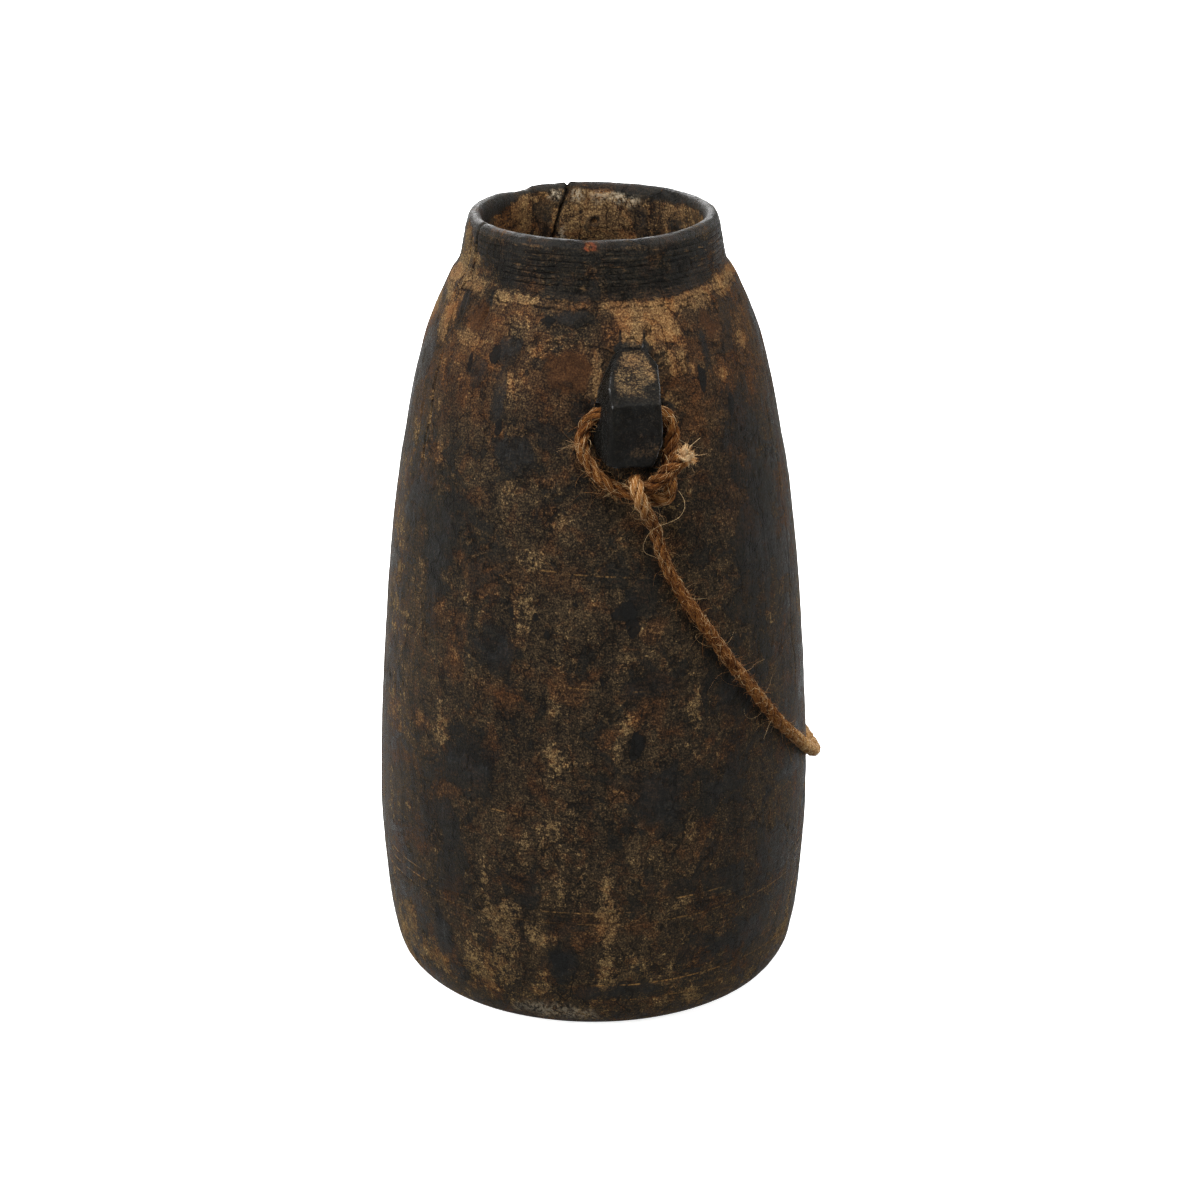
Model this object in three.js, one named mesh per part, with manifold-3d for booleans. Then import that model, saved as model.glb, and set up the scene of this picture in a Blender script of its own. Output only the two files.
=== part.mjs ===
// Wooden pot with a rope carrying handle. Millimetres, +Z up, base centre at the origin.
// The front lug points along -Y, the back lug along +Y; the rope handle hangs round the +X side.
import * as THREE from 'three';
import { mergeVertices } from 'three/addons/utils/BufferGeometryUtils.js';
import { ConvexGeometry } from 'three/addons/geometries/ConvexGeometry.js';
import Module from 'manifold-3d';

// ---- driving dimensions -------------------------------------------------------------------
const TURN_STEPS = 64;          // facets round the pot
const POT_HEIGHT = 379.0;       // base to lip
const FLOOR_THICKNESS = 18.0;   // wood left under the hollow
// outer wall, radius by height: base edge, barrel, shoulder, collar, lip
const OUTER = [
  [74.0, 0], [83.5, 1.6], [90.6, 5.6], [96.0, 13.0], [99.0, 24.0], [101.1, 36.0], [102.9, 55.0], [104.3, 80.0],
  [104.1, 110.0], [102.7, 145.0], [100.4, 180.0], [97.4, 215.0], [93.2, 250.0], [88.0, 280.0], [82.8, 306.0],
  [77.0, 326.0], [70.6, 341.0], [65.8, 351.0], [62.2, 356.5], [61.2, 362.0], [59.7, 369.0], [58.5, 375.0],
];
const LIP = [[57.2, 378.2], [55.4, POT_HEIGHT], [53.6, 378.3], [52.5, 376.0]];
// hollow, radius by height, from the mouth down to the floor
const INNER = [
  [52.0, 368.0], [51.8, 358.0], [54.0, 348.0], [60.0, 334.0], [68.0, 312.0], [75.0, 286.0], [81.0, 254.0],
  [86.0, 216.0], [89.5, 178.0], [92.0, 140.0], [93.2, 105.0], [92.6, 72.0], [90.0, 44.0], [84.0, 27.0], [74.0, 20.0],
];

const LUG_HOLE_Y = 85.6;        // rope hole in each lug, distance from the pot axis
const LUG_HOLE_Z = 307.0;
const LUG_HOLE_R = 5.2;
// corners of the carved front lug (x, y, z); the back lug is its mirror image
const LUG_CORNERS = [
  [-1.9, -75.5, 333.6], [9.2, -75.9, 333.4], [13.7, -84.4, 327.9], [12.8, -94.4, 321.6],     // worn sloping top
  [11.3, -103.8, 315.5], [-10.6, -104.0, 315.3], [-10.3, -95.5, 320.8], [-8.3, -88.7, 325.2], [-4.2, -78.9, 331.4],
  [-9.6, -104.3, 302.6], [12.2, -104.1, 303.6], [12.2, -103.8, 297.1],                       // front face
  [-8.4, -103.0, 286.4], [8.0, -102.5, 285.8], [-12.0, -100.6, 286.8],                       // lower edge
  [-12.6, -84.0, 287.2], [10.8, -84.0, 286.4],
  [-10.8, -76.0, 316.0], [-13.6, -79.0, 303.0], [-14.9, -80.0, 297.0], [-12.5, -81.5, 288.5], // left side at the wall
  [14.4, -76.0, 318.0], [14.9, -79.0, 303.0], [14.2, -80.0, 296.0], [10.8, -81.5, 288.0],    // right side at the wall
  [-5.0, -71.5, 331.0], [11.0, -71.5, 331.0],
];
// low keel between the lug and the shoulder
const KEEL_CORNERS = [
  [-2.0, -76.6, 332.8], [9.2, -76.4, 332.8], [-1.0, -71.6, 343.4], [10.0, -70.8, 344.0],
  [-9.0, -73.6, 331.0], [-8.0, -72.0, 336.5], [-2.0, -69.2, 343.6],
  [15.6, -73.8, 327.6], [14.7, -67.0, 344.4], [1.0, -66.0, 333.0], [8.0, -65.0, 342.0],
];

const ROPE_D = 6.2;             // rope diameter
const ROPE_SIDES = 10;
const PIVOT_X = 9.2;            // line through the two knots, along Y
const PIVOT_Z = 271.0;
const KNOT_R = 9.6;             // knot, outer radius about that line
const KNOT_HALF = 7.4;          // knot, half thickness along Y
const KNOT_Y = 100.2;           // knot centre, distance from the pot axis
// rope loop through the lug (front side), from the knot round the left, through the hole, down the right
const LOOP = [
  [-1.4, -95.6, 272.0], [-7.4, -93.2, 274.2], [-13.2, -91.6, 278.1], [-17.4, -89.9, 283.1], [-20.2, -88.4, 287.9],
  [-21.3, -87.0, 294.1], [-20.5, -86.2, 299.6], [-17.6, -85.7, 304.4], [-12.0, -85.6, 307.0], [0.0, -85.6, 307.0],
  [12.0, -85.6, 307.0], [17.4, -85.7, 304.4], [19.7, -86.3, 299.3], [20.3, -87.1, 294.1], [19.2, -88.6, 288.8],
  [17.2, -90.2, 283.8], [15.4, -91.2, 280.2],
];
// short cut tail in front of the loop's right side
const TAIL = [
  [11.9, -106.0, 280.8], [15.9, -106.0, 286.2], [19.6, -106.0, 290.2], [24.0, -106.0, 294.0],
];
// handle run, from the front knot round the +X side to its lowest point; the second half mirrors it
const RUN = [
  [9.3, -97.8, 260.7], [10.2, -97.8, 254.9], [12.9, -97.9, 245.1], [16.5, -97.9, 235.2], [23.2, -98.1, 222.6],
  [31.5, -97.1, 210.0], [40.5, -94.9, 196.3], [48.9, -91.9, 183.7], [58.2, -87.4, 171.4], [67.4, -81.7, 157.9],
  [77.3, -73.5, 144.7], [88.6, -60.5, 131.0], [96.8, -47.4, 120.8], [103.6, -30.6, 112.4], [107.2, -14.8, 107.6],
  [108.2, 0, 106.2],
];

// ---- helpers ------------------------------------------------------------------------------
const wasm = await Module();
wasm.setup();

function clean(geometry) {
  const g = geometry.index ? geometry.toNonIndexed() : geometry.clone();
  for (const name of Object.keys(g.attributes)) if (name !== 'position') g.deleteAttribute(name);
  const m = mergeVertices(g, 1e-4);
  const src = m.index.array, p = m.attributes.position.array, tri = [];
  for (let i = 0; i < src.length; i += 3) {
    const [a, b, c] = [src[i], src[i + 1], src[i + 2]];
    if (a !== b && b !== c && a !== c) tri.push(a, b, c);
  }
  let volume = 0;
  for (let i = 0; i < tri.length; i += 3) {
    const [a, b, c] = [tri[i] * 3, tri[i + 1] * 3, tri[i + 2] * 3];
    volume += p[a] * (p[b + 1] * p[c + 2] - p[b + 2] * p[c + 1])
      - p[a + 1] * (p[b] * p[c + 2] - p[b + 2] * p[c])
      + p[a + 2] * (p[b] * p[c + 1] - p[b + 1] * p[c]);
  }
  if (volume < 0) for (let i = 0; i < tri.length; i += 3) [tri[i + 1], tri[i + 2]] = [tri[i + 2], tri[i + 1]];
  const out = new THREE.BufferGeometry();
  out.setAttribute('position', new THREE.BufferAttribute(new Float32Array(p), 3));
  out.setIndex(tri);
  return out;
}

function toSolid(geometry) {
  const g = clean(geometry);
  return new wasm.Manifold(new wasm.Mesh({
    numProp: 3,
    vertProperties: new Float32Array(g.attributes.position.array),
    triVerts: new Uint32Array(g.index.array),
  }));
}

function fromSolid(solid) {
  const m = solid.getMesh();
  const pos = new Float32Array((m.vertProperties.length / m.numProp) * 3);
  for (let i = 0; i < pos.length / 3; i++) for (let k = 0; k < 3; k++) pos[i * 3 + k] = m.vertProperties[i * m.numProp + k];
  const g = new THREE.BufferGeometry();
  g.setAttribute('position', new THREE.BufferAttribute(pos, 3));
  g.setIndex(Array.from(m.triVerts));
  g.computeVertexNormals();
  return g;
}

const v3 = ([x, y, z]) => new THREE.Vector3(x, y, z);
const mirrorY = (list) => list.map(([x, y, z]) => [x, -y, z]);

function turned(profile, steps) {
  const g = new THREE.LatheGeometry(profile.map(([r, z]) => new THREE.Vector2(r, z)), steps);
  g.rotateX(Math.PI / 2);
  return g;
}

function rope(points, steps) {
  const section = new THREE.Shape();
  for (let i = 0; i < ROPE_SIDES; i++) {
    const a = (i / ROPE_SIDES) * Math.PI * 2;
    const [x, y] = [Math.cos(a) * ROPE_D / 2, Math.sin(a) * ROPE_D / 2];
    if (i === 0) section.moveTo(x, y); else section.lineTo(x, y);
  }
  section.closePath();
  const path = new THREE.CatmullRomCurve3(points.map(v3), false, 'centripetal');
  const g = clean(new THREE.ExtrudeGeometry(section, { steps, extrudePath: path, bevelEnabled: false, curveSegments: 1 }));
  g.computeVertexNormals();
  return g;
}

// knot: a squat rounded lump, round about the line through both knots
function knot(y) {
  const profile = [[0, -KNOT_HALF]];
  for (let i = 1; i < 10; i++) {
    const a = -Math.PI / 2 + (i / 10) * Math.PI;
    profile.push([KNOT_R * Math.cos(a), KNOT_HALF * Math.sin(a)]);
  }
  profile.push([0, KNOT_HALF]);
  const g = new THREE.LatheGeometry(profile.map(([r, t]) => new THREE.Vector2(r, t)), 20);
  g.translate(PIVOT_X, y, PIVOT_Z);
  const c = clean(g);
  c.computeVertexNormals();
  return c;
}

// ---- materials ----------------------------------------------------------------------------
const wood = () => new THREE.MeshStandardMaterial({ color: 0x2e261d, roughness: 0.72, metalness: 0.0 });
const jute = () => new THREE.MeshStandardMaterial({ color: 0x8c5a30, roughness: 0.95, metalness: 0.0 });

const group = new THREE.Group();
function add(name, geometry, material) {
  const mesh = new THREE.Mesh(geometry, material);
  mesh.name = name;
  group.add(mesh);
}

// ---- pot: one piece of wood ---------------------------------------------------------------
const wall = [[0, 0], ...OUTER, ...LIP, ...INNER, [0, FLOOR_THICKNESS]];
let pot = toSolid(turned(wall, TURN_STEPS));
for (const side of [(list) => list, mirrorY]) {
  pot = pot.add(toSolid(new ConvexGeometry(side(LUG_CORNERS).map(v3))));
  pot = pot.add(toSolid(new ConvexGeometry(side(KEEL_CORNERS).map(v3))));
}
for (const s of [-1, 1]) {
  const hole = new THREE.CylinderGeometry(LUG_HOLE_R, LUG_HOLE_R, 80, 24);
  hole.rotateZ(Math.PI / 2);
  hole.translate(0, s * LUG_HOLE_Y, LUG_HOLE_Z);
  pot = pot.subtract(toSolid(hole));
}
add('pot_body', fromSolid(pot), wood());

// ---- rope ---------------------------------------------------------------------------------
add('rope_front_loop', rope(LOOP, 30), jute());
add('rope_front_knot', knot(-KNOT_Y), jute());
add('rope_front_tail', rope(TAIL, 4), jute());
const runBack = mirrorY(RUN.slice(0, -1)).reverse();
add('rope_run', rope([...RUN, ...runBack], 46), jute());
add('rope_back_loop', rope(mirrorY(LOOP), 30), jute());
add('rope_back_knot', knot(KNOT_Y), jute());
add('rope_back_tail', rope(mirrorY(TAIL), 4), jute());

export default group;
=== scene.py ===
"""Wooden pot with a rope carrying handle: the looks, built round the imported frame.

Lengths are in millimetres until a mesh is made; the meshes are in metres, in the row frame.
"""

import math

import bmesh
import bpy
import numpy as np
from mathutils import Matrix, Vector


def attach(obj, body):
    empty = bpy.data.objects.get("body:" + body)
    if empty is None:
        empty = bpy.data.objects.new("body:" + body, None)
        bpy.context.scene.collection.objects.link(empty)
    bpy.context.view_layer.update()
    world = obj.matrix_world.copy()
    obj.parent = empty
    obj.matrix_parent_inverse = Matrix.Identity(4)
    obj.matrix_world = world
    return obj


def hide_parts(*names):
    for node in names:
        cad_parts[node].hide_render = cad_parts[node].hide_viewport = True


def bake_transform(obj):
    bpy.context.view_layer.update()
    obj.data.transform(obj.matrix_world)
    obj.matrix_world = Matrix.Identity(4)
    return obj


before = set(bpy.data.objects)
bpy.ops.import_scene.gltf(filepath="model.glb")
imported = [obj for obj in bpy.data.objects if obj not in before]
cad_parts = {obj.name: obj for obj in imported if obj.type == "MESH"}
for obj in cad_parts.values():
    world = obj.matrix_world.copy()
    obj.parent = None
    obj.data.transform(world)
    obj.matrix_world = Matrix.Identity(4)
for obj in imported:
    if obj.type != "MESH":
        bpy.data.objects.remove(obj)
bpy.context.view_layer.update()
MM = 0.001
scene = bpy.context.scene
scene.view_settings.view_transform = "Standard"
scene.view_settings.look = "None"

# ---- camera -------------------------------------------------------------------------------
CAM_AZ, CAM_EL = math.radians(-10.5), math.radians(20.335)
FORWARD = np.array([-math.sin(CAM_AZ) * math.cos(CAM_EL), math.cos(CAM_AZ) * math.cos(CAM_EL), -math.sin(CAM_EL)])
RIGHT = np.array([math.cos(CAM_AZ), math.sin(CAM_AZ), 0.0])
AIM = np.array([0.0, 0.0, 186.06]) + 3.14 * RIGHT
camera_data = bpy.data.cameras.new("camera")
camera_data.sensor_width = 36.0
camera_data.lens = 102.0
camera_data.clip_start, camera_data.clip_end = 0.05, 60.0
camera = bpy.data.objects.new("camera", camera_data)
scene.collection.objects.link(camera)
camera.location = Vector((AIM - 1644.0 * FORWARD) * MM)
camera.rotation_mode = "QUATERNION"
camera.rotation_quaternion = Vector(FORWARD).to_track_quat("-Z", "Y")
scene.camera = camera


# ---- small helpers ------------------------------------------------------------------------
def smooth(a, b, x):
    t = np.clip((np.asarray(x, float) - a) / (b - a), 0.0, 1.0)
    return t * t * (3 - 2 * t)


def _lattice(ix, iy, iz, seed):
    m = np.uint64(0xFFFFFFFF)
    h = (ix.astype(np.int64).astype(np.uint64) * np.uint64(374761393) & m) ^ (iy.astype(np.int64).astype(np.uint64) * np.uint64(668265263) & m)
    h = (h ^ (iz.astype(np.int64).astype(np.uint64) * np.uint64(2246822519) & m)) + np.uint64(seed * 3266489917 & 0xFFFFFFFF)
    h = ((h & m) ^ ((h & m) >> np.uint64(15))) * np.uint64(2246822519) & m
    h = (h ^ (h >> np.uint64(13))) * np.uint64(3266489917) & m
    h = h ^ (h >> np.uint64(16))
    return (h & np.uint64(0xFFFFF)).astype(float) / float(0xFFFFF) * 2 - 1


def noise(p, seed=1):
    """Value noise from -1 to 1 at points (N, 3)."""
    p = np.asarray(p, float)
    i = np.floor(p)
    f = p - i
    f = f * f * f * (f * (f * 6 - 15) + 10)
    i = i.astype(np.int64)
    out = np.zeros(len(p))
    for dx in (0, 1):
        wx = f[:, 0] if dx else 1 - f[:, 0]
        for dy in (0, 1):
            wy = f[:, 1] if dy else 1 - f[:, 1]
            for dz in (0, 1):
                wz = f[:, 2] if dz else 1 - f[:, 2]
                out += wx * wy * wz * _lattice(i[:, 0] + dx, i[:, 1] + dy, i[:, 2] + dz, seed)
    return out


def fbm(p, octaves, seed=1, gain=0.5):
    out, amp, total = 0.0, 1.0, 0.0
    for k in range(octaves):
        out = out + amp * noise(np.asarray(p) * 2.0**k + 17.3 * k, seed + k)
        total += amp
        amp *= gain
    return out / total


def spline(points, step):
    """Points every `step` mm on a centripetal curve through the given points."""
    p = np.asarray(points, float)
    p = np.vstack([2 * p[0] - p[1], p, 2 * p[-1] - p[-2]])
    out = []
    for k in range(1, len(p) - 2):
        p0, p1, p2, p3 = p[k - 1 : k + 3]
        t0 = 0.0
        t1 = t0 + math.sqrt(np.linalg.norm(p1 - p0))
        t2 = t1 + math.sqrt(np.linalg.norm(p2 - p1))
        t3 = t2 + math.sqrt(np.linalg.norm(p3 - p2))
        t = np.linspace(t1, t2, 40, endpoint=False)[:, None]
        a1 = (t1 - t) / (t1 - t0) * p0 + (t - t0) / (t1 - t0) * p1
        a2 = (t2 - t) / (t2 - t1) * p1 + (t - t1) / (t2 - t1) * p2
        a3 = (t3 - t) / (t3 - t2) * p2 + (t - t2) / (t3 - t2) * p3
        b1 = (t2 - t) / (t2 - t0) * a1 + (t - t0) / (t2 - t0) * a2
        b2 = (t3 - t) / (t3 - t1) * a2 + (t - t1) / (t3 - t1) * a3
        out.append((t2 - t) / (t2 - t1) * b1 + (t - t1) / (t2 - t1) * b2)
    line = np.vstack([*out, p[-2]])
    s = np.concatenate([[0], np.cumsum(np.linalg.norm(np.diff(line, axis=0), axis=1))])
    n = max(2, int(round(s[-1] / step)) + 1)
    u = np.linspace(0, s[-1], n)
    return np.stack([np.interp(u, s, line[:, k]) for k in range(line.shape[1])], 1), u


def make_mesh(name, verts_mm, faces):
    """A mesh object from an (N, 3) array in mm and a list of face index arrays (each (M, 3) or (M, 4))."""
    me = bpy.data.meshes.new(name)
    v = np.asarray(verts_mm, np.float32) * np.float32(MM)
    me.vertices.add(len(v))
    me.vertices.foreach_set("co", v.ravel())
    loops = np.concatenate([f.ravel() for f in faces]).astype(np.int32)
    sizes = np.concatenate([np.full(len(f), f.shape[1]) for f in faces])
    starts = np.concatenate([[0], np.cumsum(sizes)[:-1]]).astype(np.int32)
    me.loops.add(len(loops))
    me.loops.foreach_set("vertex_index", loops)
    me.polygons.add(len(sizes))
    me.polygons.foreach_set("loop_start", starts)
    me.update(calc_edges=True)
    me.validate()
    ob = bpy.data.objects.new(name, me)
    scene.collection.objects.link(ob)
    return ob


def coords(ob):
    a = np.zeros(len(ob.data.vertices) * 3, np.float32)
    ob.data.vertices.foreach_get("co", a)
    return a.reshape(-1, 3).astype(float) / MM


def set_coords(ob, p_mm):
    ob.data.vertices.foreach_set("co", (np.asarray(p_mm) * MM).astype(np.float32).ravel())
    ob.data.update()


def normals(ob):
    a = np.zeros(len(ob.data.vertices) * 3, np.float32)
    ob.data.vertex_normals.foreach_get("vector", a)
    return a.reshape(-1, 3).astype(float)


def bake(ob):
    """Applies the object's modifiers."""
    dg = bpy.context.evaluated_depsgraph_get()
    dg.update()
    me = bpy.data.meshes.new_from_object(ob.evaluated_get(dg))
    old = ob.data
    ob.modifiers.clear()
    ob.data = me
    bpy.data.meshes.remove(old)
    return ob


def remove(ob):
    me = ob.data
    bpy.data.objects.remove(ob)
    bpy.data.meshes.remove(me)


def cut(ob, other, how):
    m = ob.modifiers.new("join", "BOOLEAN")
    m.object = other
    m.operation = how
    m.solver = "MANIFOLD"
    bake(ob)
    remove(other)


def relax(ob, weight, rounds):
    """Pulls each vertex towards the mean of its neighbours, by weight (one number for each vertex)."""
    e = np.zeros(len(ob.data.edges) * 2, np.int32)
    ob.data.edges.foreach_get("vertices", e)
    e = e.reshape(-1, 2)
    p = coords(ob)
    count = np.bincount(e.ravel(), minlength=len(p)).astype(float)[:, None]
    w = np.asarray(weight, float)[:, None]
    for _ in range(rounds):
        s = np.zeros_like(p)
        for k in range(3):
            s[:, k] = np.bincount(e[:, 0], p[e[:, 1], k], len(p)) + np.bincount(e[:, 1], p[e[:, 0], k], len(p))
        p = p + w * (s / np.maximum(count, 1) - p)
    set_coords(ob, p)


def attribute(ob, name, kind, values):
    a = ob.data.attributes.new(name, kind, "POINT")
    values = np.asarray(values, np.float32)
    a.data.foreach_set({"FLOAT": "value", "FLOAT_VECTOR": "vector", "FLOAT_COLOR": "color"}[kind], values.ravel())


def shade_smooth(ob):
    ob.data.polygons.foreach_set("use_smooth", np.ones(len(ob.data.polygons), bool))
    ob.data.update()


# ---- the pot's turned shape ---------------------------------------------------------------
OUTER = [
    [74.0, 0], [83.5, 1.6], [90.6, 5.6], [96.0, 13.0], [99.0, 24.0], [101.1, 36.0], [102.9, 55.0], [104.3, 80.0],
    [104.1, 110.0], [102.7, 145.0], [100.4, 180.0], [97.4, 215.0], [93.2, 250.0], [88.0, 280.0], [82.8, 306.0],
    [77.0, 326.0], [70.6, 341.0], [65.8, 351.0], [62.6, 355.6], [61.6, 359.0], [61.0, 362.0], [59.9, 369.0], [58.7, 375.0],
]
LIP = [[57.4, 378.1], [55.2, 379.2], [53.1, 378.4], [51.9, 376.3], [51.5, 373.2]]
INNER = [
    [51.5, 367.0], [51.7, 358.0], [54.0, 348.0], [60.0, 334.0], [68.0, 312.0], [75.0, 286.0], [81.0, 254.0],
    [86.0, 216.0], [89.5, 178.0], [92.0, 140.0], [93.2, 105.0], [92.6, 72.0], [90.0, 44.0], [84.0, 27.0], [74.0, 20.0],
]
_wall_line, _ = spline(OUTER, 0.5)
_order = np.argsort(_wall_line[:, 1])


def wall_r(z):
    return np.interp(z, _wall_line[_order, 1], _wall_line[_order, 0])


# ---- rope ---------------------------------------------------------------------------------
# front side: cut tail, left of the loop, lug hole, right of the loop, half hitch round the first part
FRONT = [
    [23.0, -109.4, 293.4], [20.7, -107.5, 290.8], [16.9, -106.4, 287.0], [13.3, -105.7, 283.3], [9.8, -104.2, 279.4],
    [6.4, -101.8, 276.5], [3.2, -99.4, 273.9], [0.0, -97.2, 272.6], [-3.7, -95.3, 273.1], [-7.6, -93.5, 274.5],
    [-13.2, -91.6, 278.1], [-17.4, -89.9, 283.1], [-20.2, -88.4, 287.9], [-21.3, -87.0, 294.1], [-20.5, -86.2, 299.6],
    [-17.6, -85.7, 304.4], [-12.0, -85.6, 307.0], [0.0, -85.6, 307.0], [12.0, -85.6, 307.0], [17.4, -85.7, 304.4],
    [19.7, -86.3, 299.3], [20.2, -87.1, 294.1], [18.7, -89.6, 289.2], [17.4, -91.8, 284.6], [17.5, -93.4, 279.8],
    [17.8, -94.8, 275.3], [17.4, -96.2, 271.6], [15.6, -97.4, 269.4], [13.0, -97.6, 268.7], [10.2, -96.8, 268.8],
    [7.4, -94.9, 269.6], [4.9, -93.2, 271.3], [2.8, -93.4, 274.2], [1.5, -96.2, 277.4], [0.9, -99.6, 279.2],
    [0.5, -103.0, 278.9], [0.6, -105.2, 276.5], [1.5, -105.7, 272.5], [3.3, -104.5, 268.2], [5.9, -102.2, 263.7],
    [8.2, -99.6, 259.4],
]
# handle run, from below the front knot round the +X side to its lowest point
RUN = [
    [10.2, -97.8, 254.9], [12.9, -97.9, 245.1], [16.5, -97.9, 235.2], [23.2, -98.1, 222.6], [31.5, -97.1, 210.0],
    [40.5, -94.9, 196.3], [48.9, -91.9, 183.7], [58.2, -87.4, 171.4], [67.4, -81.7, 157.9], [77.3, -73.5, 144.7],
    [88.6, -60.5, 131.0], [96.8, -47.4, 120.8], [103.6, -30.6, 112.4], [107.2, -14.8, 107.6], [108.2, 0.0, 106.2],
]
_half = FRONT + RUN
ROUTE = _half + [[x, -y, z] for x, y, z in reversed(_half[:-1])]
LAY = 22.0  # length of one turn of the three plies
PLY_OUT, PLY_R = 1.36, 1.82


def frames(line):
    t = np.gradient(line, axis=0)
    t /= np.linalg.norm(t, axis=1)[:, None]
    n = np.zeros_like(line)
    ref = np.array([0.0, 0.0, 1.0])
    n[0] = np.cross(t[0], ref)
    n[0] /= np.linalg.norm(n[0])
    for k in range(1, len(line)):
        v = n[k - 1] - t[k] * (n[k - 1] @ t[k])
        n[k] = v / np.linalg.norm(v)
    return t, n, np.cross(t, n)


centre, along = spline(ROUTE, 0.78)
ROPE_LENGTH = float(along[-1])
tan, nor, bin_ = frames(centre)


def ply_angle(s, k):
    return 2 * np.pi * s / LAY + 2 * np.pi * k / 3 + 0.5 * np.sin(s / 31.0) + 0.3


def swell(s):
    """Rope thickness along its length: loosened at the cut ends, a little in the loops and knots."""
    e = np.minimum(s, ROPE_LENGTH - s)
    k = 0.90 + 0.24 * smooth(34.0, 12.0, e) + 0.03 * smooth(215.0, 190.0, e)
    return k + 0.04 * noise(np.stack([s / 17.0, np.zeros_like(s), np.zeros_like(s)], 1), 20)


def build_rope():
    sides = 20
    verts, faces, fib, tone = [], [], [], []
    a = np.linspace(0, 2 * np.pi, sides, endpoint=False)
    n = len(centre)
    end = np.minimum(along, ROPE_LENGTH - along)
    thick = swell(along)
    # the plies show in the loops and are matted together along the run
    matted = smooth(215.0, 262.0, end)
    splay = 1 + 0.42 * smooth(7.0, 0.0, end)
    # painted light: light lightens the rope at two spots on the knot and along the lowest stretch of the run
    light = np.exp(-(((end - 192.0) / 10.0) ** 2)) * 1.7 + np.exp(-(((end - 163.0) / 8.0) ** 2)) * 1.2 + 2.4 * smooth(330.0, 385.0, end)
    base = 0
    for k in range(3):
        th = ply_angle(along, k)
        off = PLY_OUT * thick * splay * (1 - 0.24 * matted) * (1 + 0.07 * noise(np.stack([along / 9.0, np.full(n, 3.1 * k), np.zeros(n)], 1), 21))
        mid = centre + (off * np.cos(th))[:, None] * nor + (off * np.sin(th))[:, None] * bin_
        r0 = PLY_R * thick * (1 + 0.18 * matted) * (1 + 0.08 * noise(np.stack([along / 5.0, np.full(n, 7.7 * k), np.zeros(n)], 1), 22))
        r0 = r0 * (1 - 0.25 * smooth(3.0, 0.0, end))
        ss, aa = np.meshgrid(along, a, indexing="ij")
        q = np.stack([ss.ravel() / 1.7, 1.9 * np.cos(aa.ravel()) + 9 * k, 1.9 * np.sin(aa.ravel())], 1)
        q2 = np.stack([ss.ravel() / 5.0, 3.4 * np.cos(aa.ravel()) + 9 * k, 3.4 * np.sin(aa.ravel())], 1)
        rr = r0[:, None] + 0.17 * noise(q, 23).reshape(n, sides) + 0.20 * noise(q2, 24).reshape(n, sides)
        rr = rr + 0.06 * np.cos(7 * aa + 0.35 * np.sin(ss / 6.0) + ss * 0.10)
        p = mid[:, None, :] + (rr * np.cos(aa))[..., None] * nor[:, None, :] + (rr * np.sin(aa))[..., None] * bin_[:, None, :]
        verts.append(p.reshape(-1, 3))
        i = np.arange(n - 1)[:, None] * sides + np.arange(sides)[None, :]
        j = np.arange(n - 1)[:, None] * sides + (np.arange(sides)[None, :] + 1) % sides
        faces.append(base + np.stack([i, j, j + sides, i + sides], -1).reshape(-1, 4))
        fib.append(np.stack([ss.ravel() / 24.0, 1.1 * np.cos(aa.ravel()) + 5 * k, 1.1 * np.sin(aa.ravel())], 1))
        deep = np.cos(aa - th[:, None]).ravel()  # 1 on the outside of the rope, -1 towards its core
        # tone channels: painted shade towards the core between the plies, paler cut ends, painted light, and one
        tone.append(np.stack([smooth(0.35, -0.35, deep), smooth(4.0, 0.3, np.repeat(end, sides)), np.repeat(light, sides), np.ones(n * sides)], 1))
        # domed ends
        for row, sign in ((0, -1), (n - 1, 1)):
            tip = mid[row] + sign * 0.8 * tan[row]
            verts.append(tip[None])
            tip_i = base + n * sides
            if sign > 0:
                tip_i += 1
            ring = base + row * sides + np.arange(sides)
            nxt = base + row * sides + (np.arange(sides) + 1) % sides
            tri = np.stack([ring, nxt, np.full(sides, tip_i)], 1) if sign > 0 else np.stack([nxt, ring, np.full(sides, tip_i)], 1)
            faces.append(tri)
            fib.append(np.array([[along[row] / 24.0, 5 * k, 0]]))
            tone.append(np.array([[0, 1, 0, 1]]))
        base += n * sides + 2
    ob = make_mesh("rope", np.vstack(verts), faces)
    attribute(ob, "fib", "FLOAT_VECTOR", np.vstack(fib))
    attribute(ob, "tone", "FLOAT_COLOR", np.vstack(tone))
    shade_smooth(ob)
    return ob


def keep_off_wall(p, gap=0.25):
    """Moves points that lie inside the pot's outer surface out to it."""
    r = np.hypot(p[..., 0], p[..., 1])
    need = wall_r(p[..., 2]) + gap
    k = np.where((r < need) & (p[..., 2] < 350), need / np.maximum(r, 1e-6), 1.0)
    q = p.copy()
    q[..., 0] *= k
    q[..., 1] *= k
    return q


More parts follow.
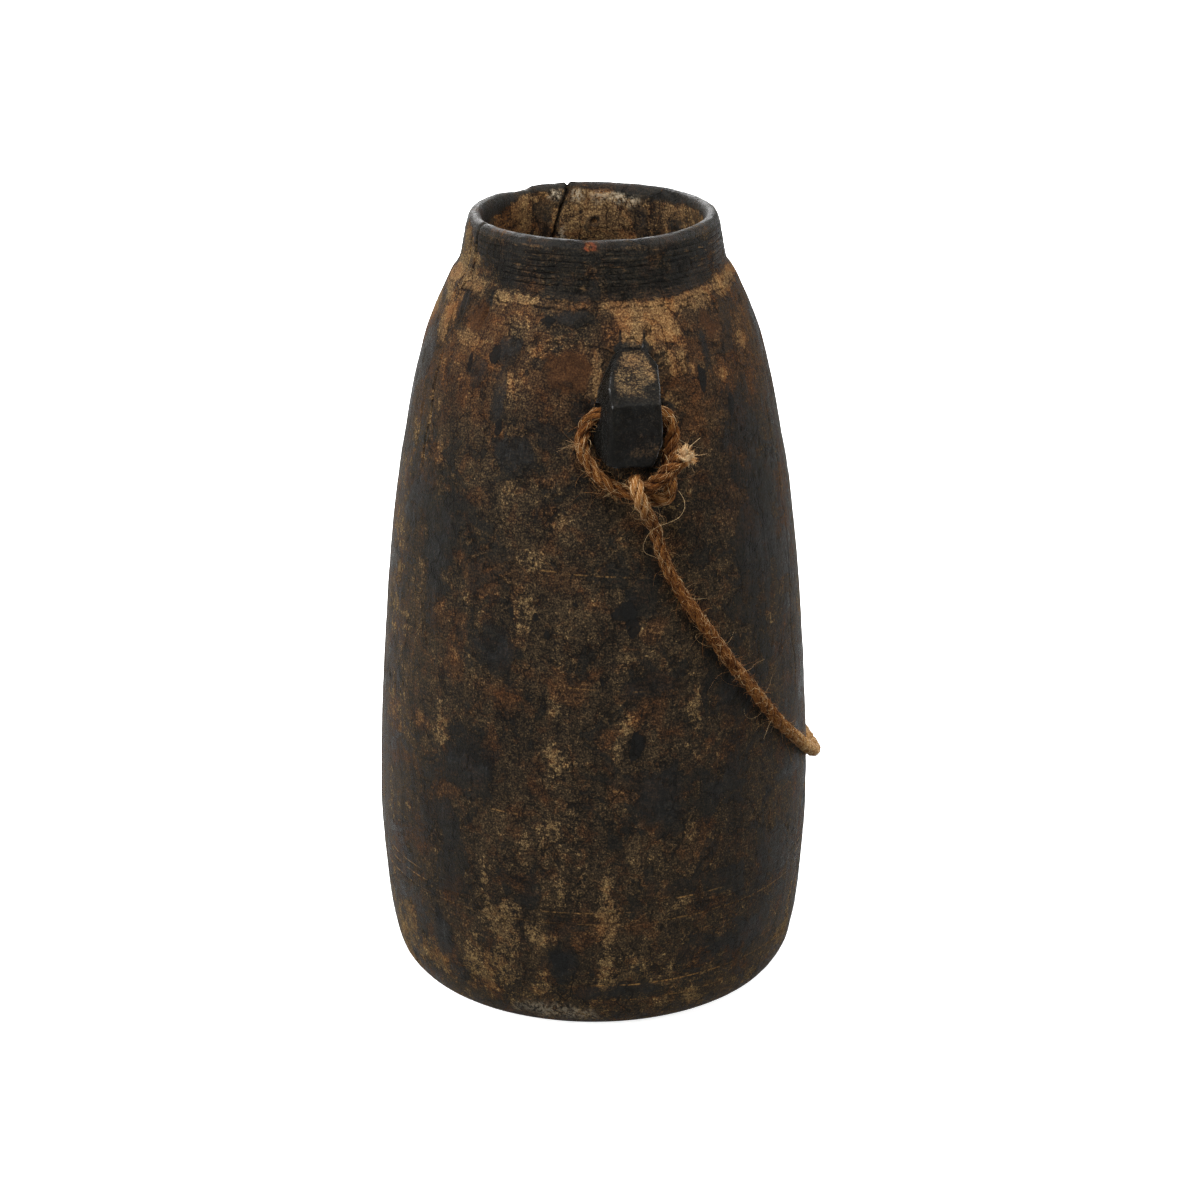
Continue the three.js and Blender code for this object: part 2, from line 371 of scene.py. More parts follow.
def tubes(lines, radius, taper=0.55):
    """Closed three-sided tubes along lines (H, n, 3), radius one for each line."""
    h, n, _ = lines.shape
    t = np.gradient(lines, axis=1)
    t /= np.maximum(np.linalg.norm(t, axis=2), 1e-9)[..., None]
    ref = np.where(np.abs(t[..., 2:3]) < 0.8, np.array([0, 0, 1.0]), np.array([1.0, 0, 0]))
    u = np.cross(t, ref)
    u /= np.maximum(np.linalg.norm(u, axis=2), 1e-9)[..., None]
    w = np.cross(t, u)
    rad = radius[:, None] * np.linspace(1, taper, n)[None]
    ang = np.array([0, 2 * np.pi / 3, 4 * np.pi / 3])
    p = lines[:, :, None, :] + rad[..., None, None] * (np.cos(ang)[None, None, :, None] * u[:, :, None, :] + np.sin(ang)[None, None, :, None] * w[:, :, None, :])
    v = p.reshape(-1, 3)
    start = (np.arange(h) * n * 3)[:, None, None]
    i = start + np.arange(n - 1)[None, :, None] * 3 + np.arange(3)[None, None, :]
    j = start + np.arange(n - 1)[None, :, None] * 3 + ((np.arange(3) + 1) % 3)[None, None, :]
    quads = np.stack([i, j, j + 3, i + 3], -1).reshape(-1, 4)
    s0 = np.arange(h) * n * 3
    caps = np.concatenate([np.stack([s0 + 2, s0 + 1, s0], 1), np.stack([s0 + (n - 1) * 3, s0 + (n - 1) * 3 + 1, s0 + (n - 1) * 3 + 2], 1)])
    return v, quads, caps


def build_fibres():
    rng = np.random.default_rng(11)
    groups = []  # (lines, radius, tone)

    def wander(start, direction, length, n, bend, sag=0.0):
        h = len(start)
        d = direction / np.linalg.norm(direction, axis=1)[:, None]
        turn = rng.normal(0, 1, (h, 3)) * bend[:, None]
        pts = [start]
        step = (length / (n - 1))[:, None]
        for _ in range(n - 1):
            d = d + np.cross(turn, d) / (n - 1) + rng.normal(0, 0.10, (h, 3))
            d[:, 2] -= sag / (n - 1)
            d /= np.linalg.norm(d, axis=1)[:, None]
            pts.append(pts[-1] + d * step)
        return np.stack(pts, 1)

    def on_rope(count, low=0.0, high=1.0):
        k = (rng.uniform(low, high, count) * (len(centre) - 1)).astype(int)
        ang = rng.uniform(0, 2 * np.pi, count)
        rad = np.cos(ang)[:, None] * nor[k] + np.sin(ang)[:, None] * bin_[k]
        return k, rad

    # short fuzz lying along the plies
    count = 2300
    k, rad = on_rope(count)
    sign = rng.choice([-1.0, 1.0], count)[:, None]
    start = centre[k] + rad * rng.uniform(2.3, 2.9, count)[:, None]
    side = np.cross(tan[k], rad)
    d = tan[k] * sign * rng.uniform(0.5, 1.0, count)[:, None] + rad * rng.uniform(0.25, 0.8, count)[:, None] + side * rng.normal(0, 0.4, count)[:, None]
    groups.append((wander(start, d, rng.uniform(1.8, 5.5, count), 5, rng.uniform(0.3, 1.3, count)), rng.uniform(0.045, 0.085, count), rng.uniform(0.15, 0.75, count)))
    # longer loose hairs
    count = 420
    k, rad = on_rope(count)
    sign = rng.choice([-1.0, 1.0], count)[:, None]
    start = centre[k] + rad * 2.5
    d = tan[k] * sign * rng.uniform(0.2, 1.0, count)[:, None] + rad * rng.uniform(0.5, 1.0, count)[:, None]
    groups.append((wander(start, d, rng.gamma(3.0, 2.3, count) + 3.0, 9, rng.uniform(0.6, 2.2, count), 0.5), rng.uniform(0.032, 0.056, count), rng.uniform(0.3, 0.95, count)))
    # frayed cut ends
    for row, sign, seed in ((0, -1.0, 0), (len(centre) - 1, 1.0, 1)):
        count = 420
        ang = rng.uniform(0, 2 * np.pi, count)
        rr = 3.1 * np.sqrt(rng.uniform(0, 1, count))
        rad = np.cos(ang)[:, None] * nor[row] + np.sin(ang)[:, None] * bin_[row]
        out = sign * tan[row]
        start = centre[row] - out * rng.uniform(0.5, 2.5, count)[:, None] + rad * rr[:, None]
        d = out[None] * rng.uniform(0.6, 1.0, count)[:, None] + rad * (0.25 + 0.30 * rr[:, None]) + rng.normal(0, 0.16, (count, 3))
        groups.append((wander(start, d, rng.uniform(1.6, 3.6, count), 6, rng.uniform(0.3, 1.3, count)), rng.uniform(0.08, 0.13, count), rng.uniform(0.52, 1.0, count)))
    # loose bundle under the left of the loop, and a strand standing off it
    for mirror in (1.0, -1.0):
        count = 26
        start = np.array([-10.5, -92.6, 274.8]) + rng.normal(0, 1.0, (count, 3)) * np.array([5.0, 0.4, 2.2])
        d = np.stack([rng.normal(-0.35, 0.55, count), rng.normal(-0.35, 0.2, count), rng.normal(-0.8, 0.4, count)], 1)
        lines = wander(start, d, rng.uniform(7, 19, count), 12, rng.uniform(0.8, 3.0, count))
        lines[..., 1] *= mirror
        groups.append((lines, rng.uniform(0.035, 0.065, count), rng.uniform(0.2, 0.8, count)))
        count = 9
        start = np.array([-21.8, -89.0, 294.6]) + rng.normal(0, 0.5, (count, 3))
        d = np.stack([rng.normal(-1.0, 0.08, count), rng.normal(-0.45, 0.1, count), rng.normal(0.12, 0.12, count)], 1)
        lines = wander(start, d, rng.uniform(6, 13, count), 9, rng.uniform(0.2, 0.7, count), 0.4)
        lines[..., 1] *= mirror
        groups.append((lines, rng.uniform(0.04, 0.07, count), rng.uniform(0.4, 0.8, count)))
        count = 12
        start = np.array([-18.0, -91.5, 284.0]) + rng.normal(0, 1.0, (count, 3)) * np.array([2.5, 0.5, 3.5])
        d = np.stack([rng.normal(0.1, 0.8, count), rng.normal(-0.5, 0.2, count), rng.normal(-0.2, 0.6, count)], 1)
        lines = wander(start, d, rng.uniform(5, 12, count), 10, rng.uniform(0.8, 2.6, count))
        lines[..., 1] *= mirror
        groups.append((lines, rng.uniform(0.035, 0.06, count), rng.uniform(0.2, 0.9, count)))
    # one long pale hair hanging from the front knot, and two short spikes at the cut tail
    hair = [[21.0, -98.6, 272.6], [22.6, -102.0, 269.6], [22.4, -104.2, 266.4], [20.0, -104.8, 262.6], [15.4, -104.2, 260.0],
            [11.0, -103.2, 258.3], [7.4, -102.4, 255.6], [4.9, -101.6, 251.2], [4.3, -101.0, 246.8], [6.0, -100.6, 244.4], [9.4, -100.2, 242.8], [11.0, -99.8, 241.6]]
    line, _ = spline(hair, 1.0)
    groups.append((line[None], np.array([0.085]), np.array([0.9])))
    spikes = np.stack([
        spline([[23.5, -107.5, 296.0], [26.5, -108.5, 299.0], [29.8, -109.0, 301.8]], 1.0)[0][:8],
        spline([[25.0, -107.5, 292.0], [28.4, -108.2, 292.3], [31.8, -108.4, 292.8]], 1.0)[0][:8],
    ])
    groups.append((spikes, np.array([0.11, 0.10]), np.array([0.9, 0.8])))
    verts, faces, tone, base = [], [], [], 0
    for lines, radius, shade in groups:
        lines = keep_off_wall(lines)
        v, quads, caps = tubes(lines, radius)
        verts.append(v)
        faces += [quads + base, caps + base]
        tone.append(np.repeat(shade, lines.shape[1] * 3))
        base += len(v)
    ob = make_mesh("rope_fibres", np.vstack(verts), faces)
    attribute(ob, "tone", "FLOAT", np.concatenate(tone))
    shade_smooth(ob)
    return ob


def build_wool(name, seed):
    """Short fibres lying on the plies, so the rope reads as matted jute."""
    rng = np.random.default_rng(seed)
    count, n = (6000), 6
    length = rng.uniform(2.2, 6.0, count)
    s0 = rng.uniform(3.0, ROPE_LENGTH - 3.0, count)
    matted = smooth(215.0, 262.0, np.minimum(s0, ROPE_LENGTH - s0))
    slant = rng.normal(0, 1, count) * np.radians(18 + 34 * matted)
    turn = rng.normal(0, 1, count) * (0.35 + 0.9 * matted)
    t = np.linspace(-0.5, 0.5, n)[None]
    heading = slant[:, None] + turn[:, None] * t
    step = length[:, None] / (n - 1)
    s = s0[:, None] + np.cumsum(np.cos(heading) * step, 1) - 0.5 * length[:, None]
    a = rng.uniform(0, 2 * np.pi, count)[:, None] + np.cumsum(np.sin(heading) * step, 1) / 3.2
    s = np.clip(s, 0.0, ROPE_LENGTH)
    thick = swell(s.ravel()).reshape(s.shape)
    top = np.zeros_like(s)
    for k in range(3):
        rel = a - ply_angle(s, k)
        off, rad = PLY_OUT * thick * (1 - 0.24 * matted[:, None]), PLY_R * thick * (1 + 0.18 * matted[:, None])
        inside = rad**2 - (off * np.sin(rel)) ** 2
        top = np.maximum(top, off * np.cos(rel) + np.sqrt(np.maximum(inside, 0.0)))
    lift = rng.uniform(-0.05, 0.22, count)[:, None] + rng.uniform(0.0, 0.42, count)[:, None] * np.cos(np.pi * t) + rng.normal(0, 0.07, (count, n))
    r = top + lift
    at = np.stack([np.interp(s, along, centre[:, k]) for k in range(3)], -1)
    u = np.stack([np.interp(s, along, nor[:, k]) for k in range(3)], -1)
    w = np.stack([np.interp(s, along, bin_[:, k]) for k in range(3)], -1)
    lines = at + (r * np.cos(a))[..., None] * u + (r * np.sin(a))[..., None] * w
    v, quads, caps = tubes(keep_off_wall(lines), rng.uniform(0.045, 0.10, count), 0.8)
    ob = make_mesh(name, v, [quads, caps])
    e = np.minimum(s0, ROPE_LENGTH - s0)
    # painted light: the fibres are lightened where the rope is painted lighter
    light = np.exp(-(((e - 192.0) / 10.0) ** 2)) * 0.40 + np.exp(-(((e - 163.0) / 8.0) ** 2)) * 0.30 + 0.42 * smooth(330.0, 385.0, e)
    shade = np.clip(rng.beta(0.85, 1.4, count) * 0.98 + light, 0, 1)
    attribute(ob, "tone", "FLOAT", np.repeat(shade, n * 3))
    shade_smooth(ob)
    return ob


rope = build_rope()
wool = build_wool("rope_wool", 12)
wool_b = build_wool("rope_wool_b", 13)
fibres = build_fibres()


# ---- pot ----------------------------------------------------------------------------------
LUG_HOLE_Y, LUG_HOLE_Z, LUG_HOLE_R = 85.6, 307.0, 5.2
LUG = [
    [-1.9, -75.5, 333.6], [9.2, -75.9, 333.4], [13.7, -84.4, 327.9], [12.8, -94.4, 321.6],
    [11.3, -103.8, 315.5], [-10.6, -104.0, 315.3], [-10.3, -95.5, 320.8], [-8.3, -88.7, 325.2], [-4.2, -78.9, 331.4],
    [-9.6, -104.3, 302.6], [12.2, -104.1, 303.6], [12.2, -103.8, 297.1],
    [-8.4, -103.0, 286.4], [8.0, -102.5, 285.8], [-12.0, -100.6, 286.8], [-12.6, -84.0, 287.2], [10.8, -84.0, 286.4],
    [-12.6, -76.0, 316.0], [-15.8, -79.0, 303.0], [-17.1, -80.0, 297.0], [-14.5, -81.5, 288.5],
    [14.4, -76.0, 318.0], [14.9, -79.0, 303.0], [14.2, -80.0, 296.0], [10.8, -81.5, 288.0],
    [-5.0, -71.5, 331.0], [11.0, -71.5, 331.0],
]
KEEL = [
    [-2.0, -76.6, 332.8], [9.2, -76.4, 332.8], [-1.0, -71.6, 343.4], [10.0, -70.8, 344.0], [-9.0, -73.6, 331.0],
    [-8.0, -72.0, 336.5], [-2.0, -69.2, 343.6], [15.6, -73.8, 327.6], [14.7, -67.0, 344.4], [1.0, -66.0, 333.0], [8.0, -65.0, 342.0],
]
RINGS = [(20.2, 0.16, 0.45), (28.9, 0.32, 0.50), (62.4, 0.30, 0.45), (68.2, 0.24, 0.45), (72.8, 0.22, 0.45)]  # scribed lines: height, depth, half width
COLLAR_RINGS = [(358.6, 0.30), (361.4, 0.34), (363.9, 0.26), (366.6, 0.36), (369.2, 0.30), (372.2, 0.34), (374.9, 0.22)]


def wrap(a):
    return (a + 180.0) % 360.0 - 180.0


def lip_drop(phi):
    """How far the lip is worn down at an angle, in mm."""
    d = 0.35 * noise(np.stack([np.cos(np.radians(phi)) * 1.6, np.sin(np.radians(phi)) * 1.6, np.zeros_like(phi)], 1), 31)
    d += 0.18 * noise(np.stack([np.cos(np.radians(phi)) * 6, np.sin(np.radians(phi)) * 6, np.zeros_like(phi)], 1), 32)
    d += 0.12 + 0.35 * np.exp(-((wrap(phi + 90) / 60.0) ** 2))
    d += 1.5 * np.exp(-((wrap(phi - 92.6) / 0.9) ** 2))  # notch over the split
    d += 1.1 * smooth(110.5, 115.0, phi) * smooth(136.0, 120.0, phi)  # step at the back left
    d += 0.5 * np.exp(-((wrap(phi + 163.5) / 1.0) ** 2))
    return d


def grid_pot():
    cols = 620
    fine = 1.0
    base_rows = np.array([[0.0, 0.0], [26.0, 0.0], [50.0, 0.0], [66.0, 0.0], [72.0, 0.0]])[1:]
    # turned profile as one line, cut into stretches with their own spacing
    line, s = spline(OUTER + LIP + INNER, 0.1)
    want = [0.0]
    while want[-1] < s[-1]:
        k = min(int(want[-1] / 0.1), len(line) - 1)
        r, z = line[k]
        inside = want[-1] > s[np.argmax(line[:, 1])] + 2
        if inside:
            step = 0.9 if z > 345 else (1.8 if z > 318 else 4.5)
        else:
            step = 0.42 if z > 354 else 1.35
            if any(abs(z - g[0]) < 1.4 for g in RINGS):
                step = 0.30
        want.append(want[-1] + step * fine)
    want = np.array(want[:-1] + [s[-1]])
    rz = np.stack([np.interp(want, s, line[:, 0]), np.interp(want, s, line[:, 1])], 1)
    top = int(np.argmax(rz[:, 1]))
    tangent = np.gradient(rz, axis=0)
    tangent /= np.linalg.norm(tangent, axis=1)[:, None]
    out = np.stack([tangent[:, 1], -tangent[:, 0]], 1)  # away from the wood
    phi = np.linspace(-180, 180, cols, endpoint=False)
    n = len(rz)
    rr, ph = np.meshgrid(rz[:, 0], phi, indexing="ij")
    zz = np.repeat(rz[:, 1][:, None], cols, 1)
    cosp, sinp = np.cos(np.radians(ph)), np.sin(np.radians(ph))
    x, y, z, pf = (rr * cosp).ravel(), (rr * sinp).ravel(), zz.ravel(), ph.ravel()
    row = np.repeat(np.arange(n), cols)
    outside = row <= top
    P = np.stack([x, y, z], 1)
    d = np.zeros(len(x))
    # outside: hand-worked unevenness, grain, scribed rings, collar lines
    o = outside
    amp = smooth(0.0, 14.0, z[o])
    d[o] += amp * (0.42 * fbm(P[o] / 48.0, 3, 41) + 0.26 * fbm(P[o] / 13.0, 4, 44))
    d[o] += amp * 0.10 * noise(np.stack([x[o] / 3.2, y[o] / 3.2, z[o] / 34.0], 1), 47)
    pits = fbm(P[o] / 4.4, 2, 48)
    d[o] += amp * (0.07 * pits - 0.30 * smooth(0.32, 0.62, pits) * smooth(-0.1, 0.35, fbm(P[o] / 23.0, 2, 49)))
    for h, depth, half in RINGS:
        here = 0.55 + 0.45 * noise(np.stack([np.cos(np.radians(pf[o])) * 5, np.sin(np.radians(pf[o])) * 5, np.full(o.sum(), h)], 1), 51)
        wob = 0.25 * noise(np.stack([np.cos(np.radians(pf[o])) * 2, np.sin(np.radians(pf[o])) * 2, np.full(o.sum(), h)], 1), 52)
        d[o] -= depth * np.clip(here, 0.15, 1) * np.exp(-(((z[o] - h - wob) / half) ** 2))
    collar = o & (z > 355)
    for h, depth in COLLAR_RINGS:
        u = np.stack([np.cos(np.radians(pf[collar])), np.sin(np.radians(pf[collar])), np.full(collar.sum(), h)], 1)
        wob = 0.35 * noise(u * np.array([2.2, 2.2, 1]), 53)
        here = np.clip(0.6 + 0.6 * noise(u * np.array([4, 4, 1]), 54), 0.1, 1.1)
        d[collar] -= depth * here * np.exp(-(((z[collar] - h - wob) / 0.42) ** 2))
    d[collar] += 0.10 * noise(np.stack([pf[collar] / 12.0, z[collar] / 0.9, np.zeros(collar.sum())], 1), 55)
    # splits on the left of the collar and shoulder, and a few gouges
    for angle, z0, z1, depth, half, seed in [(-164.0, 346, 381, 1.2, 0.55, 61), (-169.0, 338, 372, 0.7, 0.5, 62), (-145.0, 336, 352, 1.1, 1.4, 63),
                                             (-159.0, 336, 350, 0.7, 1.0, 64), (-161.5, 268, 322, 0.7, 0.7, 65), (-30.0, 150, 300, 0.35, 0.6, 66),
                                             (38.0, 70, 210, 0.6, 0.6, 67), (150.0, 120, 290, 0.7, 0.6, 68), (70.0, 300, 350, 0.8, 0.6, 69), (112.0, 24, 130, 0.5, 0.6, 70)]:
        path = angle + 1.1 * noise(np.stack([z[o] / 14.0, np.full(o.sum(), seed * 1.7), np.zeros(o.sum())], 1), seed)
        across = np.radians(wrap(pf[o] - path)) * rr.ravel()[o]
        d[o] -= depth * smooth(z0 - 4, z0 + 6, z[o]) * smooth(z1 + 4, z1 - 6, z[o]) * np.exp(-((across / half) ** 2))
    # reddish chip on the front of the lip
    chip = np.exp(-((np.radians(wrap(pf + 101.5)) * 58 / 3.2) ** 4) - (((z - 376.3) / 1.9) ** 4))
    d -= 0.75 * chip * outside * (1 + 0.5 * noise(P / 1.3, 71))
    # inside: rough gouge work and the split down the back
    i = ~outside
    d[i] += 0.55 * fbm(np.stack([x[i] / 20, y[i] / 20, z[i] / 34], 1), 3, 81) * smooth(378, 366, z[i])
    d[i] += 0.16 * fbm(np.stack([x[i] / 5, y[i] / 5, z[i] / 9], 1), 2, 84)
    path = np.interp(z[i], [300, 352.4, 366.8, 379.3], [108, 101.9, 97.4, 93.2]) + 0.7 * noise(np.stack([z[i] / 6.0, np.zeros(i.sum()), np.zeros(i.sum())], 1), 85) + 0.5 * noise(np.stack([z[i] / 1.7, np.zeros(i.sum()), np.zeros(i.sum())], 1), 86)
    across = np.radians(wrap(pf[i] - path)) * rr.ravel()[i]
    fade = smooth(296, 330, z[i])
    d[i] -= fade * 2.4 * np.exp(-((across / 0.75) ** 2))
    d[i] += fade * 0.5 * np.exp(-(((across - 2.2) / 1.3) ** 2)) * smooth(372, 360, z[i])
    dim = np.hypot(np.radians(wrap(pf[i] - 78.9)) * 52, z[i] - 360.6)
    d[i] += 0.5 * np.exp(-(((dim - 3.0) / 0.8) ** 2)) - 1.3 * np.exp(-((dim / 1.9) ** 4))
    nick = np.hypot(np.radians(wrap(pf[i] - 82.4)) * 52 / 2.2, (z[i] - 366.2) / 0.9)
    d[i] -= 1.0 * np.exp(-(nick**2))
    for angle, h, deep in [(60, 354, .6), (52, 349, .5), (71, 352, .5), (86, 350, .5), (118, 358, .5), (128, 350, .4), (40, 362, .4)]:
        spot = np.hypot(np.radians(wrap(pf[i] - angle)) * 52, z[i] - h)
        d[i] -= deep * np.exp(-((spot / 0.8) ** 2))
    P[:, 0] += d * np.repeat(out[:, 0], cols) * cosp.ravel()
    P[:, 1] += d * np.repeat(out[:, 0], cols) * sinp.ravel()
    P[:, 2] += d * np.repeat(out[:, 1], cols)
    P[:, 2] -= np.tile(lip_drop(phi), n) * smooth(366, 379, z)
    P[:, 2] = np.maximum(P[:, 2], 0.0)
    # base and floor
    ring_sets = [P.reshape(n, cols, 3)]
    under = np.stack([np.stack([r * cosp[0], r * sinp[0], np.full(cols, zb)], 1) for r, zb in base_rows])
    floor = np.stack([np.stack([r * cosp[0], r * sinp[0], np.full(cols, zb)], 1) + np.stack([np.zeros(cols), np.zeros(cols), 0.3 * noise(np.stack([r * cosp[0] / 9, r * sinp[0] / 9, np.zeros(cols)], 1), 88)], 1)
                      for r, zb in [(60.0, 18.8), (40.0, 18.3), (18.0, 18.0)]])
    rings = np.concatenate([under, ring_sets[0], floor])
    m = len(rings)
    v = np.concatenate([rings.reshape(-1, 3), [[0, 0, 0], [0, 0, 18.0]]])
    a = np.arange(m - 1)[:, None] * cols + np.arange(cols)[None]
    b = np.arange(m - 1)[:, None] * cols + (np.arange(cols)[None] + 1) % cols
    quads = np.stack([a, b, b + cols, a + cols], -1).reshape(-1, 4)
    c = np.arange(cols)
    bottom = np.stack([(c + 1) % cols, c, np.full(cols, m * cols)], 1)
    t0 = (m - 1) * cols
    cap = np.stack([t0 + c, t0 + (c + 1) % cols, np.full(cols, m * cols + 1)], 1)
    return make_mesh("pot", v, [quads, bottom, cap])


def hull(name, corners, side):
    bm = bmesh.new()
    for x, y, z in corners:
        bm.verts.new((x * MM, side * y * MM, z * MM))
    got = bmesh.ops.convex_hull(bm, input=bm.verts)
    drop = [g for g in got["geom_interior"] + got["geom_unused"] if isinstance(g, bmesh.types.BMVert)]
    bmesh.ops.delete(bm, geom=list(set(drop)), context="VERTS")
    bmesh.ops.recalc_face_normals(bm, faces=bm.faces)
    me = bpy.data.meshes.new(name)
    bm.to_mesh(me)
    bm.free()
    ob = bpy.data.objects.new(name, me)
    scene.collection.objects.link(ob)
    return ob


def worn_block(name, corners, side, size, rounds, seed):
    """A carved block: the corners' hull, remeshed finely, its edges worn round and its faces slightly uneven."""
    ob = hull(name, corners, side)
    m = ob.modifiers.new("grid", "REMESH")
    m.mode = "VOXEL"
    m.voxel_size = size * MM
    bake(ob)
    relax(ob, np.full(len(ob.data.vertices), 0.5), rounds)
    p = coords(ob)
    q = p * np.array([1, side, 1])
    p = p + normals(ob) * (0.12 + 0.22 * fbm(q / 9.0, 3, seed) + 0.06 * noise(np.stack([q[:, 0] / 1.8, q[:, 1] / 1.8, q[:, 2] / 14], 1), seed + 5))[:, None]
    set_coords(ob, p)
    return ob


def hole_cutter(side):
    n, sides = 60, 28
    x = np.linspace(-38, 38, n)
    a = np.linspace(0, 2 * np.pi, sides, endpoint=False)
    xx, aa = np.meshgrid(x, a, indexing="ij")
    r = LUG_HOLE_R - 0.15 + 0.9 * smooth(8.0, 15.0, np.abs(xx)) * smooth(30, 17, np.abs(xx))
    r = r + 0.18 * noise(np.stack([xx.ravel() / 6, np.cos(aa.ravel()) * 1.4, np.sin(aa.ravel()) * 1.4], 1), 91).reshape(n, sides)
    v = np.stack([xx, side * -LUG_HOLE_Y + r * np.cos(aa), LUG_HOLE_Z + r * np.sin(aa)], -1).reshape(-1, 3)
    v = np.concatenate([v, [[-38, side * -LUG_HOLE_Y, LUG_HOLE_Z], [38, side * -LUG_HOLE_Y, LUG_HOLE_Z]]])
    i = np.arange(n - 1)[:, None] * sides + np.arange(sides)[None]
    j = np.arange(n - 1)[:, None] * sides + (np.arange(sides)[None] + 1) % sides
    quads = np.stack([i, j, j + sides, i + sides], -1).reshape(-1, 4)
    c = np.arange(sides)
    lo = np.stack([c, (c + 1) % sides, np.full(sides, n * sides)], 1)[:, ::-1]
    t0 = (n - 1) * sides
    hi = np.stack([t0 + c, t0 + (c + 1) % sides, np.full(sides, n * sides + 1)], 1)
    ob = make_mesh("hole", v, [quads, lo, hi])
    bm = bmesh.new()
    bm.from_mesh(ob.data)
    bmesh.ops.recalc_face_normals(bm, faces=bm.faces)
    bm.to_mesh(ob.data)
    bm.free()
    return ob


def build_pot():
    ob = grid_pot()
    for side in (1, -1):
        lug = worn_block("lug", LUG, side, 0.5, 1, 101 if side > 0 else 111)
        p = coords(lug)
        # the edge over the front face and the foot are worn rounder than the others
        worn = np.exp(-(((p[:, 2] - 315.4) / 3.5) ** 2)) * smooth(94, 99, np.abs(p[:, 1])) + smooth(291, 287, p[:, 2])
        relax(lug, 0.5 * np.clip(worn, 0, 1), 9)
        cut(ob, lug, "UNION")
        cut(ob, worn_block("keel", KEEL, side, 0.7, 2, 103 if side > 0 else 113), "UNION")
        cut(ob, hole_cutter(side), "DIFFERENCE")
    # soften the seams between lug, keel and wall
    p = coords(ob)
    gap = np.hypot(p[:, 0], p[:, 1]) - wall_r(p[:, 2])
    near = smooth(2.2, 0.6, np.abs(gap)) * smooth(21, 17, np.abs(p[:, 0] - 1)) * smooth(282, 285, p[:, 2]) * smooth(350, 346, p[:, 2]) * smooth(60, 64, np.abs(p[:, 1]))
    relax(ob, 0.35 * near, 3)
    # carved grooves between the keel's facets
    p = coords(ob)
    for side in (1, -1):
        yy = -side * p[:, 1]
        for x0, x1, z0, z1 in [(-1.6, -0.8, 333.5, 343.0), (9.4, 10.2, 333.5, 345.0)]:
            xc = x0 + (x1 - x0) * (p[:, 2] - z0) / (z1 - z0)
            w = np.exp(-(((p[:, 0] - xc) / 0.6) ** 2)) * smooth(z0 - 1.5, z0, p[:, 2]) * smooth(z1 + 1.5, z1 - 3, p[:, 2]) * (yy > 60)
            p[:, 1] += side * 0.45 * w
        w = np.exp(-(((p[:, 2] - 333.4) / 0.6) ** 2)) * smooth(-3.6, -1.8, p[:, 0]) * smooth(11.5, 9.6, p[:, 0]) * (yy > 66) * (yy < 80)
        p[:, 1] += side * 0.6 * w
        p[:, 2] -= 0.3 * w
    set_coords(ob, p)
    m = ob.modifiers.new("tri", "TRIANGULATE")
    bake(ob)
    tris = len(ob.data.polygons)
    limit = 188000
    if tris > limit:
        m = ob.modifiers.new("thin", "DECIMATE")
        m.ratio = limit / tris
        bake(ob)
    ob.data.name = "pot"
    shade_smooth(ob)
    return ob


pot = build_pot()

# wear, rust-brown and soot marks on the wall: angle (degrees), height, half width, half height (mm), strength
WEAR = [
    (-177, 352, 10, 11, 1.0), (-168, 335, 9, 15, 0.85), (-141, 351, 9, 2.6, 1.0), (-128, 352, 7, 2.6, 1.0), (-155, 353, 15, 5, 0.75), (-129, 345, 18, 6, 0.45),
    (-147, 331, 17, 6, 0.6), (-119, 332, 10, 6, 0.5), (-157, 300, 2.2, 8, 1.0), (-154, 284, 4, 14, 0.55), (-128, 315, 7, 11, 0.55), (-99, 324, 2.4, 14, 0.9),
    (-86, 350, 12, 3, 1.0), (-96, 351, 6, 4, 0.8), (-83, 346, 8, 4, 1.0), (-72, 350, 10, 4.5, 1.0), (-55, 350, 11, 4.5, 1.0), (-38, 351, 12, 4.5, 1.0), (-22, 352, 10, 4, 0.9),
    (-72, 341, 7, 9, 0.9), (-68, 331, 6, 9, 0.5), (-67, 322, 6, 2.8, 0.7), (-74, 327, 4, 10, 0.6), (-53, 315, 5, 6, 0.7), (-39, 327, 9, 6, 0.5), (-75, 309, 6, 9, 0.5),
    (-171, 225, 11, 34, 0.6), (-152, 273, 4.5, 10, 0.6), (-127, 269, 13, 6, 0.5), (-119, 239, 7, 6, 0.75), (-120, 212, 10, 14, 0.7), (-110, 254, 12, 9, 0.5),
    (-143, 188, 17, 10, 0.5), (-92, 246, 13, 10, 0.5), (-73, 254, 7, 8, 0.5), (-85, 203, 11, 12, 0.6), (-40, 195, 12, 32, 0.42), (-152, 151, 5, 4, 1.0),
    (-145, 150, 11, 18, 0.6), (-150, 98, 7, 18, 0.5), (-110, 172, 10, 12, 0.65), (-111, 146, 13, 14, 0.72), (-110, 107, 15, 14, 0.65), (-130, 78, 10, 12, 0.6),
    (-124, 56, 12, 20, 0.8), (-130, 30, 17, 12, 0.75), (-114, 26, 9, 8, 0.55), (-167, 26, 12, 16, 1.0), (-162, 44, 9, 14, 0.9), (-34, 28, 9, 12, 0.75), (-23, 52, 5, 22, 0.7), (-113, 53, 6, 4, 0.8), (-107, 77, 12, 12, 0.6), (-150, 26, 18, 10, 0.8), (-97, 70, 7, 24, 0.85),
    (-97, 37, 4, 14, 0.95), (-76, 70, 13, 6, 0.6), (-76, 52, 7, 6, 0.45), (-31, 43, 6, 11, 0.55), (-52, 17, 12, 5, 0.5), (-73, 20, 7, 3, 0.7),
    (-73, 168, 8, 13, 0.7), (-89, 168, 8, 8, 0.6), (-75, 149, 8, 4, 0.55),
]
